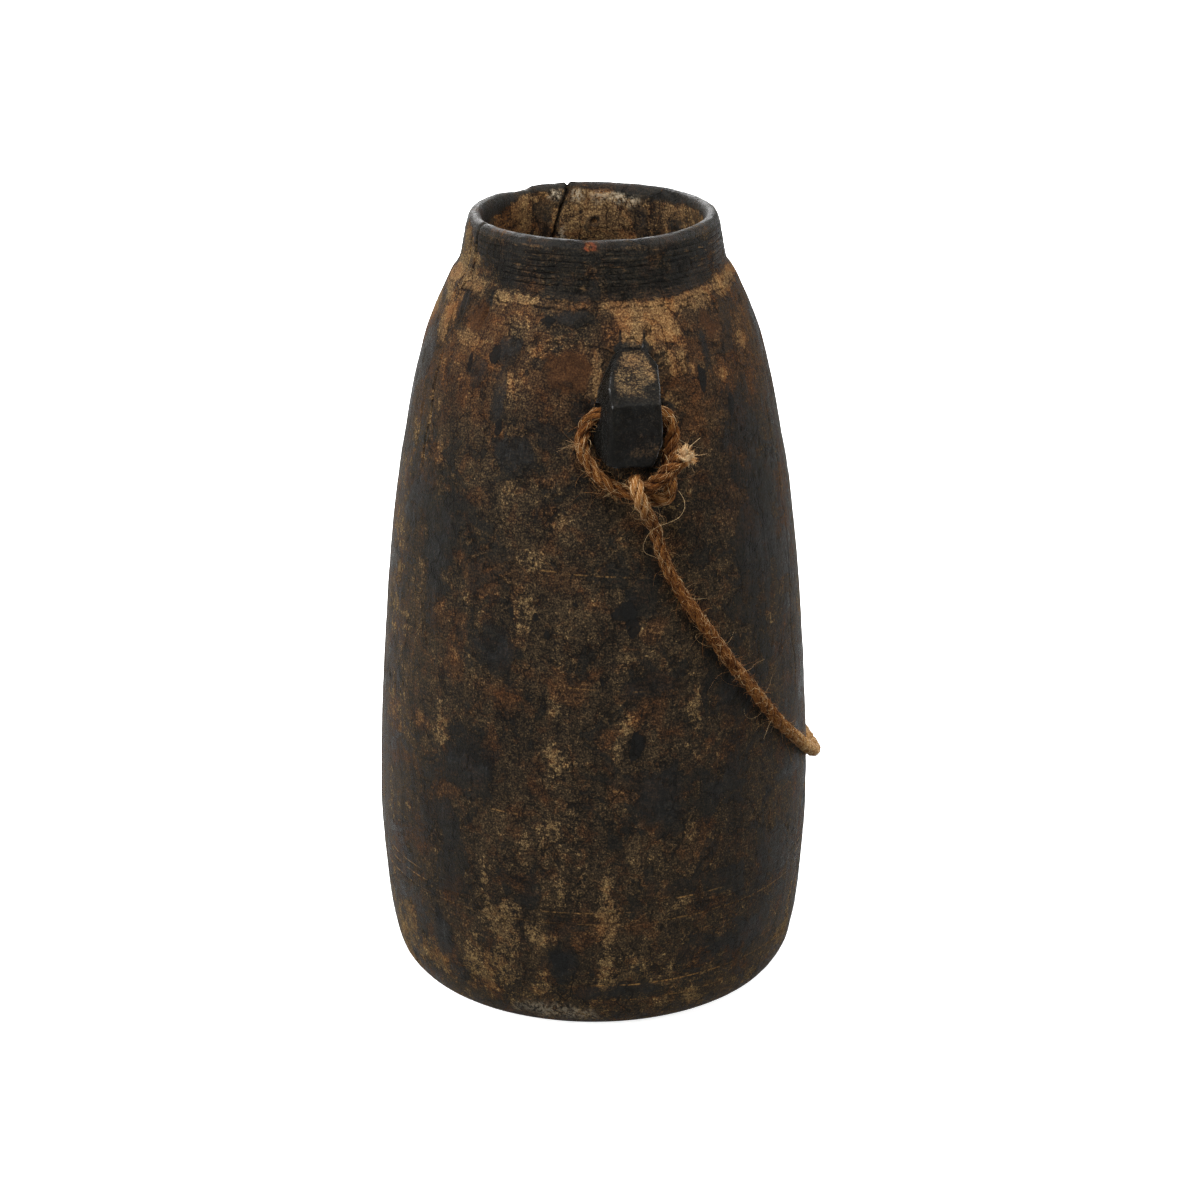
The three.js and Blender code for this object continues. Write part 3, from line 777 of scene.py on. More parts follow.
RUST = [
    (-109, 324, 11, 10, 0.95), (-150, 340, 6, 7, 0.9), (-130, 347, 15, 5, 0.55), (-118, 317, 10, 6, 0.6), (-139, 300, 8, 5, 0.65), (-136, 263, 6, 4, 0.8),
    (-128, 231, 13, 8, 0.5), (-147, 205, 7, 7, 0.6), (-49, 334, 17, 14, 0.6), (-68, 303, 13, 14, 0.65), (-56, 259, 13, 14, 0.35), (-126, 174, 11, 6, 0.5),
    (-32, 110, 3, 12, 0.8), (-70, 95, 11, 6, 0.4), (-99, 60, 8, 8, 0.45), (-110, 231, 12, 6, 0.4), (-94, 338, 3.2, 5, 0.8),
]
SCABS = [
    (-91.5, 216, 6.2, 4.6, 1.0), (-89.5, 209, 3.4, 5.0, 1.0), (-88.4, 153.6, 3.4, 4.6, 1.0), (-89.6, 148, 3.0, 3.6, 1.0), (-122.8, 213.7, 1.8, 3.0, 1.0), (-116, 212.7, 1.6, 2.4, 1.0),
    (-112.6, 204.3, 1.5, 3.2, 1.0), (-115.7, 344, 8.5, 3.0, 0.7), (-135.5, 328.6, 3.6, 4.6, 0.9), (-146, 320.5, 2.2, 6.0, 0.8), (-105.5, 219.5, 1.4, 2.0, 1.0), (-109.4, 42.7, 5.0, 6.5, 0.9),
    (-146, 52, 3.4, 6.0, 0.8), (-103.5, 310, 3.6, 0.9, 1.1), (-98, 183, 2.0, 2.6, 0.9), (-131, 297, 2.2, 4.0, 0.8), (-62, 316, 2.4, 6.0, 0.8), (-52, 300, 2.0, 8.0, 0.7),
]
SOOT = [
    (-145, 345, 1.6, 7, 1.0), (-159, 343, 2.4, 6, 0.8), (-130.5, 331, 6.5, 7.5, 1.0), (-131.5, 311, 4.2, 11, 0.95), (-141, 319, 5.3, 9, 0.6), (-109, 346, 9, 3.6, 0.85),
    (-163, 261, 12, 19, 0.6), (-148, 232, 10, 24, 0.7), (-124, 285, 10, 9, 1.0), (-58.3, 327, 1.7, 12, 0.9), (-66.5, 322, 1.2, 11, 0.6), (-127, 197, 11, 10, 0.75), (-134, 138, 15, 13, 0.95), (-141, 105, 10, 10, 0.6),
    (-90, 217, 4.6, 6, 1.0), (-89, 153, 4.3, 5.8, 1.0), (-88, 179, 14, 5, 0.65), (-58, 169, 13, 12, 0.8), (-84, 124, 18, 18, 0.65), (-65, 128, 12, 15, 0.55),
    (-45, 232, 20, 26, 0.6), (-47, 288, 20, 16, 0.6), (-109, 40, 6, 8, 0.85), (-117, 76, 4, 10, 0.7), (-145, 42, 6, 10, 0.75), (-88, 25, 30, 5, 0.6),
    (-60, 42, 25, 10, 0.5), (-62, 316, 2.6, 6, 0.55), (-115, 294, 10, 7, 0.5),
]


def marks(listed, p, phi, seed):
    """Sum of soft-edged marks at the points of the wall, their outlines broken by noise."""
    out = np.zeros(len(p))
    ragged = 0.62 * fbm(p / 9.0, 4, seed, 0.62) + 0.25 * noise(np.stack([p[:, 0] / 4, p[:, 1] / 4, p[:, 2] / 26], 1), seed + 9)
    r = np.hypot(p[:, 0], p[:, 1])
    for angle, h, rx, rz, s in listed:
        dx = np.radians(wrap(phi - angle)) * r / rx
        dz = (p[:, 2] - h) / rz
        d = np.sqrt(dx * dx + dz * dz)
        out = np.maximum(out, s * smooth(1.55, 0.25, d + 1.1 * ragged))
    return out


def paint_pot(ob):
    p, nrm = coords(ob), normals(ob)
    phi = np.degrees(np.arctan2(p[:, 1], p[:, 0]))
    r = np.hypot(p[:, 0], p[:, 1])
    rw = wall_r(p[:, 2])
    rng = np.random.default_rng(5)

    def scatter(count, wide, high, low, top):
        return [(float(rng.uniform(-22, 182)), float(rng.uniform(low, top)), float(rng.uniform(*wide)), float(rng.uniform(*high)), float(rng.uniform(0.4, 0.95))) for _ in range(count)]

    wear_and_painted_light = marks(WEAR + scatter(46, (4, 15), (4, 18), 15, 335) + [(a, 351.5, 11, 2.8, 0.9) for a in range(-10, 180, 17)], p, phi, 131)
    rust = marks(RUST + scatter(16, (6, 15), (4, 14), 40, 345), p, phi, 132)
    soot_and_painted_shade = marks(SOOT + scatter(26, (4, 18), (5, 24), 20, 345), p, phi, 133)
    scab = marks(SCABS + scatter(14, (1.5, 5.0), (2.0, 6.0), 30, 330), p, phi, 149)
    # painted light and shade: the left of the wall is lightened and the right darkened, over an even base level of wear
    wear_base_and_side_light = 0.15 + 0.12 * smooth(-148, -165, phi) * (phi < 0) - 0.13 * smooth(-66, -50, phi) * smooth(10, -5, phi)
    wear_and_painted_light = np.maximum(wear_and_painted_light * (0.62 + smooth(285, 320, p[:, 2]) * (0.16 + 0.30 * smooth(-104, -92, phi))), wear_base_and_side_light + 0.30 * fbm(p / 24.0, 4, 134)) + 0.08 * smooth(285, 330, p[:, 2])
    rust = np.maximum(rust, smooth(270, 330, p[:, 2]) * smooth(358, 353, p[:, 2]) * np.clip(0.42 + 0.7 * fbm(p / 17.0, 3, 146), 0, 0.9))
    # painted light: the lower wall, below about 78 mm, is made lighter, standing in for light from the floor
    wear_and_painted_light = wear_and_painted_light + 0.15 * smooth(78, 24, p[:, 2])
    soot_and_painted_shade = soot_and_painted_shade + 0.08 * fbm(p / 30.0, 3, 137)
    # smooth red-brown patches, where the stain is unbroken
    stain = smooth(0.35, 0.62, marks([(-109, 324.5, 10.5, 9.5, 1.0), (-147, 342, 6.0, 6.5, 0.9), (-52, 338, 8.0, 6.0, 0.8), (64, 322, 11.0, 9.0, 1.0), (140, 300, 9.0, 8.0, 0.9)], p, phi, 160))
    wear_and_painted_light = wear_and_painted_light * (1 - 0.65 * stain)
    rust = np.maximum(rust, 0.95 * stain)
    soot_and_painted_shade = soot_and_painted_shade * (1 - 0.7 * stain)
    # collar: darkest; its lower edge runs unevenly into the worn ledge
    around = np.stack([np.cos(np.radians(phi)), np.sin(np.radians(phi)), np.zeros(len(p))], 1)
    low = np.interp(phi, [-180, -172, -166, -160, -150, -140, -128, -100, -66, -48, -34, -18, 0, 150, 165, 180], [379, 377, 371.5, 366, 360, 356, 353.4, 352.2, 352.6, 353.8, 355.6, 357.0, 356, 356, 366, 379])
    edge = low + 1.1 * noise(around * 5.0, 138) + 0.9 * fbm(p / 3.0, 2, 139)
    outer = smooth(-5.2, -4.2, r - rw)
    outer = np.where(p[:, 2] > 355, (r > 54.6) * 1.0, outer)
    collar = smooth(-1.0, 0.8, p[:, 2] - edge) * outer
    wear_and_painted_light = wear_and_painted_light * (1 - 0.70 * collar)
    soot_and_painted_shade = np.maximum(soot_and_painted_shade * (1 - collar), 0.45 * collar)
    left = smooth(-155, -163, phi) * (p[:, 2] > 352) * outer * (1 - collar)
    wear_and_painted_light = np.maximum(wear_and_painted_light, left * (0.55 + 0.5 * fbm(p / 5.0, 3, 140)))
    # inside of the hollow; the dark lip runs a little way down it
    depth = 2.6 + 1.2 * noise(around * 3.0, 144) + 5.5 * smooth(118, 150, phi) + 2.0 * smooth(75, 50, phi) * (phi > -40) + 1.2 * fbm(p / 3.0, 2, 145)
    inner = np.where(p[:, 2] > 340, (r < 55.2) * smooth(-0.9, 0.9, 378.6 - depth - p[:, 2]), smooth(-2.5, -5.0, r - rw) * (p[:, 2] > 15))
    lip = smooth(374.5, 376.5, p[:, 2]) * (1 - inner) * (1 - left)
    lip = np.maximum(lip, (r < 55.2) * (p[:, 2] > 355) * (1 - inner))
    soot_and_painted_shade = np.maximum(soot_and_painted_shade * (1 - lip), 0.52 * lip)
    wear_and_painted_light = wear_and_painted_light * (1 - 0.8 * lip) + lip * (0.02 + 0.4 * fbm(p / 6.0, 3, 150))
    in_wear = 0.54 + 0.44 * fbm(np.stack([p[:, 0] / 13, p[:, 1] / 13, p[:, 2] / 22], 1), 3, 141)
    in_soot_and_painted_shade = 0.0 * r
    for angle, h, rx, rz, s in [(107, 362, 5, 12, 0.95), (112, 350, 8, 10, 0.6), (53, 359, 4, 9, 0.9), (44, 367, 6, 4, 0.5), (128, 361, 5, 8, 0.4), (30, 360, 5, 12, 0.6), (150, 362, 9, 9, 0.5), (10, 364, 8, 9, 0.5), (-60, 352, 20, 12, 0.4)]:
        dd = np.hypot(np.radians(wrap(phi - angle)) * r / rx, (p[:, 2] - h) / rz) * (1 + 0.5 * fbm(p / 5.0, 3, 142))
        in_soot_and_painted_shade = np.maximum(in_soot_and_painted_shade, s * smooth(1.4, 0.4, dd))
    # painted shade: a dark ring at the rim of the dimple's pit
    dimple = np.hypot(np.radians(wrap(phi - 78.9)) * 52, p[:, 2] - 360.6)
    in_soot_and_painted_shade = np.maximum(in_soot_and_painted_shade, np.exp(-(((dimple - 1.9) / 0.55) ** 2)))
    pale = 0.0 * r
    for angle, h, rx, rz, s in [(100, 375.0, 4, 3, 0.7), (62, 373.4, 8, 3, 0.55), (76, 373.5, 5, 2.4, 0.35), (88, 374.0, 3, 3, 0.5), (96.5, 352, 1.6, 9, 0.5)]:
        dd = np.hypot(np.radians(wrap(phi - angle)) * r / rx, (p[:, 2] - h) / rz) * (1 + 0.5 * fbm(p / 3.0, 3, 143))
        pale = np.maximum(pale, s * smooth(1.4, 0.3, dd))
    # painted shade: the inside is darker and less worn further down the hollow
    deep = smooth(352, 300, p[:, 2])
    in_soot_and_painted_shade = np.maximum(in_soot_and_painted_shade, 0.55 * deep)
    wear_and_painted_light = wear_and_painted_light * (1 - inner) + inner * in_wear * (1 - 0.5 * deep)
    soot_and_painted_shade = soot_and_painted_shade * (1 - inner) + inner * in_soot_and_painted_shade
    rust = rust * (1 - inner) + inner * (0.25 + 0.75 * np.exp(-((wrap(phi - 135) / 14) ** 2)) * smooth(378, 372, p[:, 2]))
    # a dusting of pale grit on the foot
    grit = marks([(-114, 13.0, 12.0, 4.6, 0.42), (-106, 11.5, 9.0, 3.4, 0.40), (58, 14.0, 16.0, 4.0, 0.4)], p, phi, 161)
    pale = np.maximum(pale * inner, grit * (1 - inner))
    # lugs: charcoal sides and front, speckled worn slope on top
    lug_all = 0.0 * r
    for side in (1, -1):
        yy = -side * p[:, 1]
        lug = smooth(0.6, 2.0, r - rw) * (yy > 0) * smooth(19, 16.5, np.abs(p[:, 0])) * (p[:, 2] > 283) * (p[:, 2] < 336)
        lug_all = np.maximum(lug_all, lug)
        top = smooth(0.45, 0.68, nrm[:, 2]) * lug
        half = np.interp(p[:, 2], [315, 321, 326, 331, 334], [11.0, 11.4, 10.6, 8.0, 5.4])
        mid = np.interp(p[:, 2], [315, 325, 334], [0.4, 2.4, 3.7])
        inset = half - np.abs(p[:, 0] - mid)
        face = top * smooth(-0.5, 2.8, inset) * smooth(308.0, 325.0, p[:, 2]) * smooth(335.6, 332.6, p[:, 2])
        out = smooth(0.6, 0.85, -side * nrm[:, 1])
        chipped = (lug - top) * out * smooth(1.35, 0.45, np.hypot((p[:, 0] - 3.6) / 6.4, (p[:, 2] - 295.0) / 6.6) + 1.0 * fbm(p / 3.4, 4, 152, 0.62))
        lug_wear = 0.54 * face + (lug - top) * np.clip(0.05 + 0.55 * fbm(p / 5.0, 3, 147), 0, 0.5) + 0.50 * chipped
        wear_and_painted_light = wear_and_painted_light * (1 - lug) + lug * lug_wear
        soot_and_painted_shade = soot_and_painted_shade * (1 - lug) + lug * (0.95 - 0.90 * face - 0.42 * chipped)
        rust = rust * (1 - lug) + lug * (0.12 * (1 - face) + 0.16 * face * smooth(326, 331, p[:, 2]) + 0.5 * chipped)
        # painted shade: the lug's foot and underside are painted black
        under = lug * smooth(290, 286, p[:, 2])
        soot_and_painted_shade = np.maximum(soot_and_painted_shade, under)
        # keel facets above
        keel = (yy > 0) * smooth(332.6, 334.0, p[:, 2]) * smooth(347.0, 344.0, p[:, 2]) * smooth(-10, -8, p[:, 0]) * smooth(17, 15, p[:, 0]) * (r > rw - 2)
        wear_and_painted_light = np.maximum(wear_and_painted_light * (1 - keel), keel * np.where(p[:, 0] < -1.3, 0.45, 0.85))
        rust = np.maximum(rust, keel * np.where(p[:, 0] < -1.3, 0.8, 0.25))
        # painted shade: the carved grooves between and under the keel's facets are painted dark
        for x0, x1, z0, z1 in [(-1.6, -0.8, 333.5, 343.0), (9.4, 10.2, 333.5, 345.0)]:
            xc = x0 + (x1 - x0) * (p[:, 2] - z0) / (z1 - z0)
            groove = 0.8 * np.exp(-(((p[:, 0] - xc) / 0.6) ** 2)) * (yy > 60) * smooth(332, 333.5, p[:, 2]) * smooth(344, 340, p[:, 2])
            soot_and_painted_shade, wear_and_painted_light = np.maximum(soot_and_painted_shade, groove), wear_and_painted_light * (1 - groove)
        groove = np.exp(-(((p[:, 2] - 333.5) / 0.7) ** 2)) * smooth(-3.6, -1.8, p[:, 0]) * smooth(11.5, 9.6, p[:, 0]) * (yy > 66) * (yy < 80)
        soot_and_painted_shade, wear_and_painted_light = np.maximum(soot_and_painted_shade, groove), wear_and_painted_light * (1 - groove)
        # hole and the shade round it
        hole = np.hypot(yy - LUG_HOLE_Y, p[:, 2] - LUG_HOLE_Z)
        soot_and_painted_shade = np.maximum(soot_and_painted_shade, smooth(7.0, 5.6, hole) * (np.abs(p[:, 0]) < 26) * (yy > 0))
    chip = np.exp(-((np.radians(wrap(phi + 101.5)) * 58 / 3.4) ** 4) - (((p[:, 2] - 376.2) / 2.2) ** 4)) * (r > 54) * (1 + 0.5 * fbm(p / 1.6, 2, 151))
    rust = np.maximum(rust, 2.0 * chip)
    wear_and_painted_light = np.maximum(wear_and_painted_light, 0.55 * chip)
    soot_and_painted_shade = soot_and_painted_shade * (1 - chip)
    # the split is black
    # painted shade: the split is painted black, for the shade in its crack
    path = np.interp(p[:, 2], [300, 352.4, 366.8, 379.3], [108, 101.9, 97.4, 93.2])
    split = np.exp(-((np.radians(wrap(phi - path)) * r / 0.9) ** 2)) * inner * smooth(296, 330, p[:, 2])
    soot_and_painted_shade = np.maximum(soot_and_painted_shade, split)
    # painted shade: the lowest 3 mm, where the pot meets the floor, is darkened
    base = smooth(3.0, 0.0, p[:, 2])
    soot_and_painted_shade = np.maximum(soot_and_painted_shade, 0.5 * base)
    # where the scribed rings and scratches show as worn lines
    line = 0.0 * r
    for h, spans in [(62.4, [(-174, -152, 1.0), (-152, -92, 0.25), (-86, -36, 0.45)]), (68.2, [(-169, -147, 0.8), (-114, -87, 0.4)]), (72.8, [(-169, -154, 0.7), (-79, -66, 0.7)]),
                     (28.9, [(-100, -61, 1.0), (-61, -30, 0.4)]), (20.2, [(-100, -63, 0.5)]), (233.0, [(-116, -87, 0.42)]), (180.5, [(-109, -87, 0.42)]), (115.5, [(-129, -121, 0.6)])]:
        for a0, a1, s0 in spans:
            line = np.maximum(line, s0 * smooth(a0 - 2, a0 + 2, phi) * smooth(a1 + 2, a1 - 2, phi) * smooth(4.5, 3.0, np.abs(p[:, 2] - h)))
        line = np.maximum(line, 0.45 * (np.abs(phi - 80) < 110) * smooth(4.5, 3.0, np.abs(p[:, 2] - h)) * (h < 100))
    body = smooth(-6.0, -3.0, r - rw)
    edges = np.zeros(len(ob.data.edges) * 2, np.int32)
    ob.data.edges.foreach_get("vertices", edges)
    edges = edges.reshape(-1, 2)
    bulge = np.zeros(len(p))
    spread_n = nrm.copy()
    for _ in range(4):
        total = np.stack([np.bincount(edges[:, 0], spread_n[edges[:, 1], k], len(p)) + np.bincount(edges[:, 1], spread_n[edges[:, 0], k], len(p)) for k in range(3)], 1)
        spread_n = total / np.maximum(np.linalg.norm(total, axis=1), 1e-9)[:, None]
    for a0, b0 in ((0, 1), (1, 0)):
        d = p[edges[:, b0]] - p[edges[:, a0]]
        d /= np.maximum(np.linalg.norm(d, axis=1), 1e-9)[:, None]
        bulge -= np.bincount(edges[:, a0], (d * spread_n[edges[:, a0]]).sum(1), len(p))
    bulge /= np.maximum(np.bincount(edges.ravel(), minlength=len(p)), 1)
    attribute(ob, "edge", "FLOAT", np.maximum(smooth(0.10, 0.30, bulge) * lug_all * (0.15 + 0.85 * smooth(0.12, 0.45, np.abs(nrm[:, 0]))), 0.066 * lip))
    attribute(ob, "scab", "FLOAT", scab * (1 - collar) * (1 - inner) * (1 - lug_all))
    attribute(ob, "stain", "FLOAT", stain * (1 - collar) * (1 - inner) * (1 - lug_all))
    attribute(ob, "zone", "FLOAT_COLOR", np.stack([collar * (1 - lip), inner, lug_all, line * body], 1))
    # patina channels: wear with painted light, rust, soot with painted shade, and pale grit
    attribute(ob, "patina_and_painted_light", "FLOAT_COLOR", np.stack([np.clip(wear_and_painted_light, 0, 1.6), np.clip(rust, 0, 2), np.clip(soot_and_painted_shade, 0, 1), np.clip(pale, 0, 1)], 1))


paint_pot(pot)


# ---- materials ----------------------------------------------------------------------------
class Nodes:
    """Short hand for making a material's node tree."""

    def __init__(self, name):
        self.mat = bpy.data.materials.new(name)
        self.mat.use_nodes = True
        self.t = self.mat.node_tree
        self.t.nodes.clear()
        self.out = self.t.nodes.new("ShaderNodeOutputMaterial")
        self.bsdf = self.t.nodes.new("ShaderNodeBsdfPrincipled")
        self.t.links.new(self.bsdf.outputs[0], self.out.inputs[0])

    def node(self, kind, **props):
        n = self.t.nodes.new(kind)
        for k, v in props.items():
            setattr(n, k, v)
        return n

    def link(self, a, b):
        self.t.links.new(a, b)

    def put(self, socket, value):
        if hasattr(value, "is_linked") or isinstance(value, bpy.types.NodeSocket):
            self.link(value, socket)
        else:
            socket.default_value = value

    def math(self, op, a, b=0.0, c=0.0, clamp=False):
        n = self.node("ShaderNodeMath", operation=op, use_clamp=clamp)
        for s, v in zip(n.inputs, (a, b, c)):
            self.put(s, v)
        return n.outputs[0]

    def ramp(self, value, a, b, low=0.0, high=1.0):
        n = self.node("ShaderNodeMapRange", interpolation_type="SMOOTHSTEP")
        for s, v in zip(n.inputs[:5], (value, a, b, low, high)):
            self.put(s, v)
        return n.outputs[0]

    def noise(self, vector, scale, detail=2.0, rough=0.5, distort=0.0):
        n = self.node("ShaderNodeTexNoise")
        self.link(vector, n.inputs["Vector"])
        n.inputs["Scale"].default_value = scale
        n.inputs["Detail"].default_value = detail
        n.inputs["Roughness"].default_value = rough
        n.inputs["Distortion"].default_value = distort
        return n.outputs["Fac"]

    def node_colour(self, vector, scale):
        n = self.node("ShaderNodeTexNoise")
        self.link(vector, n.inputs["Vector"])
        n.inputs["Scale"].default_value = scale
        n.inputs["Detail"].default_value = 4.0
        return n.outputs["Color"]

    def scaled(self, vector, scale):
        n = self.node("ShaderNodeMapping")
        self.link(vector, n.inputs["Vector"])
        n.inputs["Scale"].default_value = scale
        return n.outputs["Vector"]

    def mix(self, fac, a, b, how="MIX"):
        n = self.node("ShaderNodeMix", data_type="RGBA", blend_type=how)
        self.put(n.inputs[0], fac)
        self.put(n.inputs[6], a)
        self.put(n.inputs[7], b)
        return n.outputs[2]

    def colours(self, fac, stops):
        n = self.node("ShaderNodeValToRGB")
        e = n.color_ramp.elements
        while len(e) < len(stops):
            e.new(0.5)
        for el, (pos, rgb) in zip(e, stops):
            el.position = pos
            el.color = (*[lin(c) for c in rgb], 1.0)
        self.link(fac, n.inputs[0])
        return n.outputs[0]


def lin(c):
    c = c / 255.0
    return c / 12.92 if c <= 0.04045 else ((c + 0.055) / 1.055) ** 2.4


def rgb(*c):
    return (*[lin(v) for v in c], 1.0)


def wood_material():
    m = Nodes("old_wood")
    obj = m.node("ShaderNodeTexCoord").outputs["Object"]
    # patina: wear with painted light, rust, soot with painted shade, and pale grit
    attr = m.node("ShaderNodeAttribute", attribute_name="patina_and_painted_light")
    sep = m.node("ShaderNodeSeparateColor")
    m.link(attr.outputs["Color"], sep.inputs[0])
    wear_and_painted_light, rust, soot_and_painted_shade, pale = sep.outputs[0], sep.outputs[1], sep.outputs[2], attr.outputs["Alpha"]
    zone = m.node("ShaderNodeAttribute", attribute_name="zone")
    zsep = m.node("ShaderNodeSeparateColor")
    m.link(zone.outputs["Color"], zsep.inputs[0])
    collar, inner, lug, lines = zsep.outputs[0], zsep.outputs[1], zsep.outputs[2], zone.outputs["Alpha"]
    edge = m.node("ShaderNodeAttribute", attribute_name="edge").outputs["Fac"]
    tall = m.scaled(obj, (1.0, 1.0, 0.13))
    flat = m.scaled(obj, (0.10, 0.10, 1.0))

    def dev(n):
        return m.math("SUBTRACT", n, 0.5)

    n_big = m.noise(obj, 30.0, 5.0, 0.6, 0.5)
    n_mid = m.noise(obj, 115.0, 8.0, 0.68, 0.5)
    n_clump = m.noise(m.scaled(obj, (1.0, 1.0, 0.8)), 210.0, 8.0, 0.74, 0.5)
    n_speck = m.noise(m.scaled(obj, (1.0, 1.0, 0.72)), 640.0, 4.0, 0.8)
    n_fine = m.noise(obj, 1250.0, 2.0, 0.7)
    n_flake = m.noise(obj, 48.0, 12.0, 0.64, 0.9)
    n_streak = m.noise(tall, 130.0, 5.0, 0.62)
    n_turn = m.noise(flat, 900.0, 3.0, 0.65)
    n_hatch = m.noise(m.scaled(obj, (0.24, 0.24, 1.0)), 760.0, 4.0, 0.72)
    xyz = m.node("ShaderNodeSeparateXYZ")
    m.link(obj, xyz.inputs[0])
    # the shoulder is rubbed smooth, so it is less mottled than the wall
    calm = m.ramp(xyz.outputs[2], 0.268, 0.312)
    for part, much in ((collar, 1.0), (inner, 0.25), (lug, 0.45)):
        calm = m.math("MULTIPLY", calm, m.math("MULTIPLY_ADD", part, -much, 1.0, clamp=True))

    def rubbed(n, k, less):
        return m.math("MULTIPLY", dev(n), m.math("MULTIPLY_ADD", calm, -less, k))

    # the dark coat left on the wood, with crisp flaked edges
    c = m.math("MULTIPLY_ADD", soot_and_painted_shade, 0.26, n_flake)
    c = m.math("MULTIPLY_ADD", wear_and_painted_light, -0.14, c)
    c = m.math("MULTIPLY_ADD", dev(n_clump), 0.16, c)
    coat = m.ramp(c, 0.528, 0.546)
    # worn patches, breaking up at their edges
    e = m.math("ADD", rubbed(n_mid, 1.15, 0.75), wear_and_painted_light)
    e = m.math("ADD", rubbed(n_clump, 1.25, 0.9), e)
    e = m.math("ADD", rubbed(n_speck, 0.6, 0.2), e)
    e = m.math("MULTIPLY_ADD", dev(n_fine), 0.25, e)
    e = m.math("MULTIPLY_ADD", dev(n_streak), 0.55, e)
    e = m.math("MULTIPLY_ADD", dev(n_hatch), 0.45, e)
    bare = m.ramp(e, 0.38, 0.54)
    # tone of the wood, from charcoal to pale ochre
    u = m.math("MULTIPLY", bare, m.math("MULTIPLY_ADD", wear_and_painted_light, 0.12, 0.12))
    u = m.math("MULTIPLY_ADD", soot_and_painted_shade, -0.08, m.math("ADD", u, 0.43))
    u = m.math("MULTIPLY_ADD", rust, 0.03, u)
    # painted light: the lowest 70 mm of the wall is made lighter, standing in for light from the floor
    u = m.math("ADD", m.ramp(xyz.outputs[2], 0.070, 0.020, 0.0, 0.045), u)
    u = m.math("MULTIPLY_ADD", m.math("MULTIPLY", lug, soot_and_painted_shade), -0.05, u)
    u = m.math("MULTIPLY_ADD", lug, -0.09, u)
    u = m.math("ADD", rubbed(n_big, 0.26, -0.16), u)
    u = m.math("ADD", rubbed(n_mid, 0.28, 0.20), u)
    u = m.math("ADD", rubbed(n_clump, 0.36, 0.20), u)
    u = m.math("ADD", rubbed(n_speck, 0.55, 0.12), u)
    u = m.math("MULTIPLY_ADD", dev(n_fine), 1.10, u)
    u = m.math("MULTIPLY_ADD", dev(n_hatch), 0.32, u)
    u = m.math("MULTIPLY_ADD", dev(n_streak), 0.26, u)
    u = m.math("MULTIPLY_ADD", m.math("MULTIPLY", dev(n_turn), m.math("MULTIPLY_ADD", collar, 0.45, 0.14)), 1.0, u)
    # unbroken stain is even in tone
    stain = m.node("ShaderNodeAttribute", attribute_name="stain").outputs["Fac"]
    stain = m.math("MULTIPLY_ADD", dev(n_mid), 1.5, m.math("MULTIPLY_ADD", dev(n_clump), 1.1, stain))
    stain = m.ramp(stain, 0.42, 0.66)
    u = m.math("MULTIPLY_ADD", m.math("MULTIPLY", stain, 0.48), m.math("SUBTRACT", 0.36, u), u)
    worn = m.colours(u, [(0.20, (11, 10, 8)), (0.36, (24, 20, 15)), (0.50, (44, 36, 26)), (0.62, (66, 53, 36)), (0.75, (92, 74, 49)), (0.87, (121, 99, 65)), (1.0, (154, 130, 90))])
    dark = m.colours(u, [(0.2, (10, 10, 9)), (0.42, (21, 20, 17)), (0.60, (34, 30, 24)), (0.9, (64, 52, 36))])
    col = m.mix(m.math("MULTIPLY", coat, 0.9), worn, dark)
    # thick black scabs of the coat
    scab = m.node("ShaderNodeAttribute", attribute_name="scab").outputs["Fac"]
    scab = m.math("MULTIPLY_ADD", dev(n_clump), 1.0, m.math("MULTIPLY_ADD", dev(n_mid), 1.1, scab))
    scab = m.ramp(scab, 0.48, 0.52)
    # red-brown stain
    red = m.colours(u, [(0.22, (20, 13, 9)), (0.40, (45, 29, 17)), (0.55, (70, 45, 26)), (0.75, (97, 66, 38)), (1.0, (132, 98, 58))])
    n_red = m.noise(obj, 52.0, 4.0, 0.55, 0.4)
    red_fac = m.math("MULTIPLY_ADD", rust, 0.78, m.ramp(n_red, 0.52, 0.64, 0.0, 0.48), clamp=True)
    red_fac = m.math("ADD", red_fac, m.ramp(m.noise(obj, 150.0, 7.0, 0.66, 0.6), 0.53, 0.60, 0.0, 0.36), clamp=True)
    red_fac = m.math("MULTIPLY", red_fac, m.math("MULTIPLY_ADD", coat, -0.6, 1.0))
    red_fac = m.math("MULTIPLY_ADD", stain, 0.12, red_fac, clamp=True)
    red_fac = m.math("MULTIPLY", red_fac, m.math("MULTIPLY_ADD", lug, -0.6, 1.0))
    col = m.mix(red_fac, col, red)
    # bluish soot
    n_blue = m.math("MULTIPLY_ADD", dev(n_clump), 0.7, m.math("MULTIPLY_ADD", dev(n_mid), 0.6, m.noise(obj, 46.0, 8.0, 0.66, 0.8)))
    blue = m.math("MULTIPLY", m.ramp(soot_and_painted_shade, 0.22, 0.8), m.ramp(n_blue, 0.47, 0.53, 0.0, 0.50))
    blue = m.math("MULTIPLY", blue, m.math("MULTIPLY_ADD", lug, -0.6, 1.0))
    col = m.mix(blue, col, rgb(24, 25, 25))
    col = m.mix(m.math("MULTIPLY", scab, 0.92), col, rgb(16, 16, 15))
    pale_fac = m.math("MULTIPLY", pale, m.ramp(n_speck, 0.42, 0.58))
    col = m.mix(pale_fac, col, rgb(168, 156, 134))
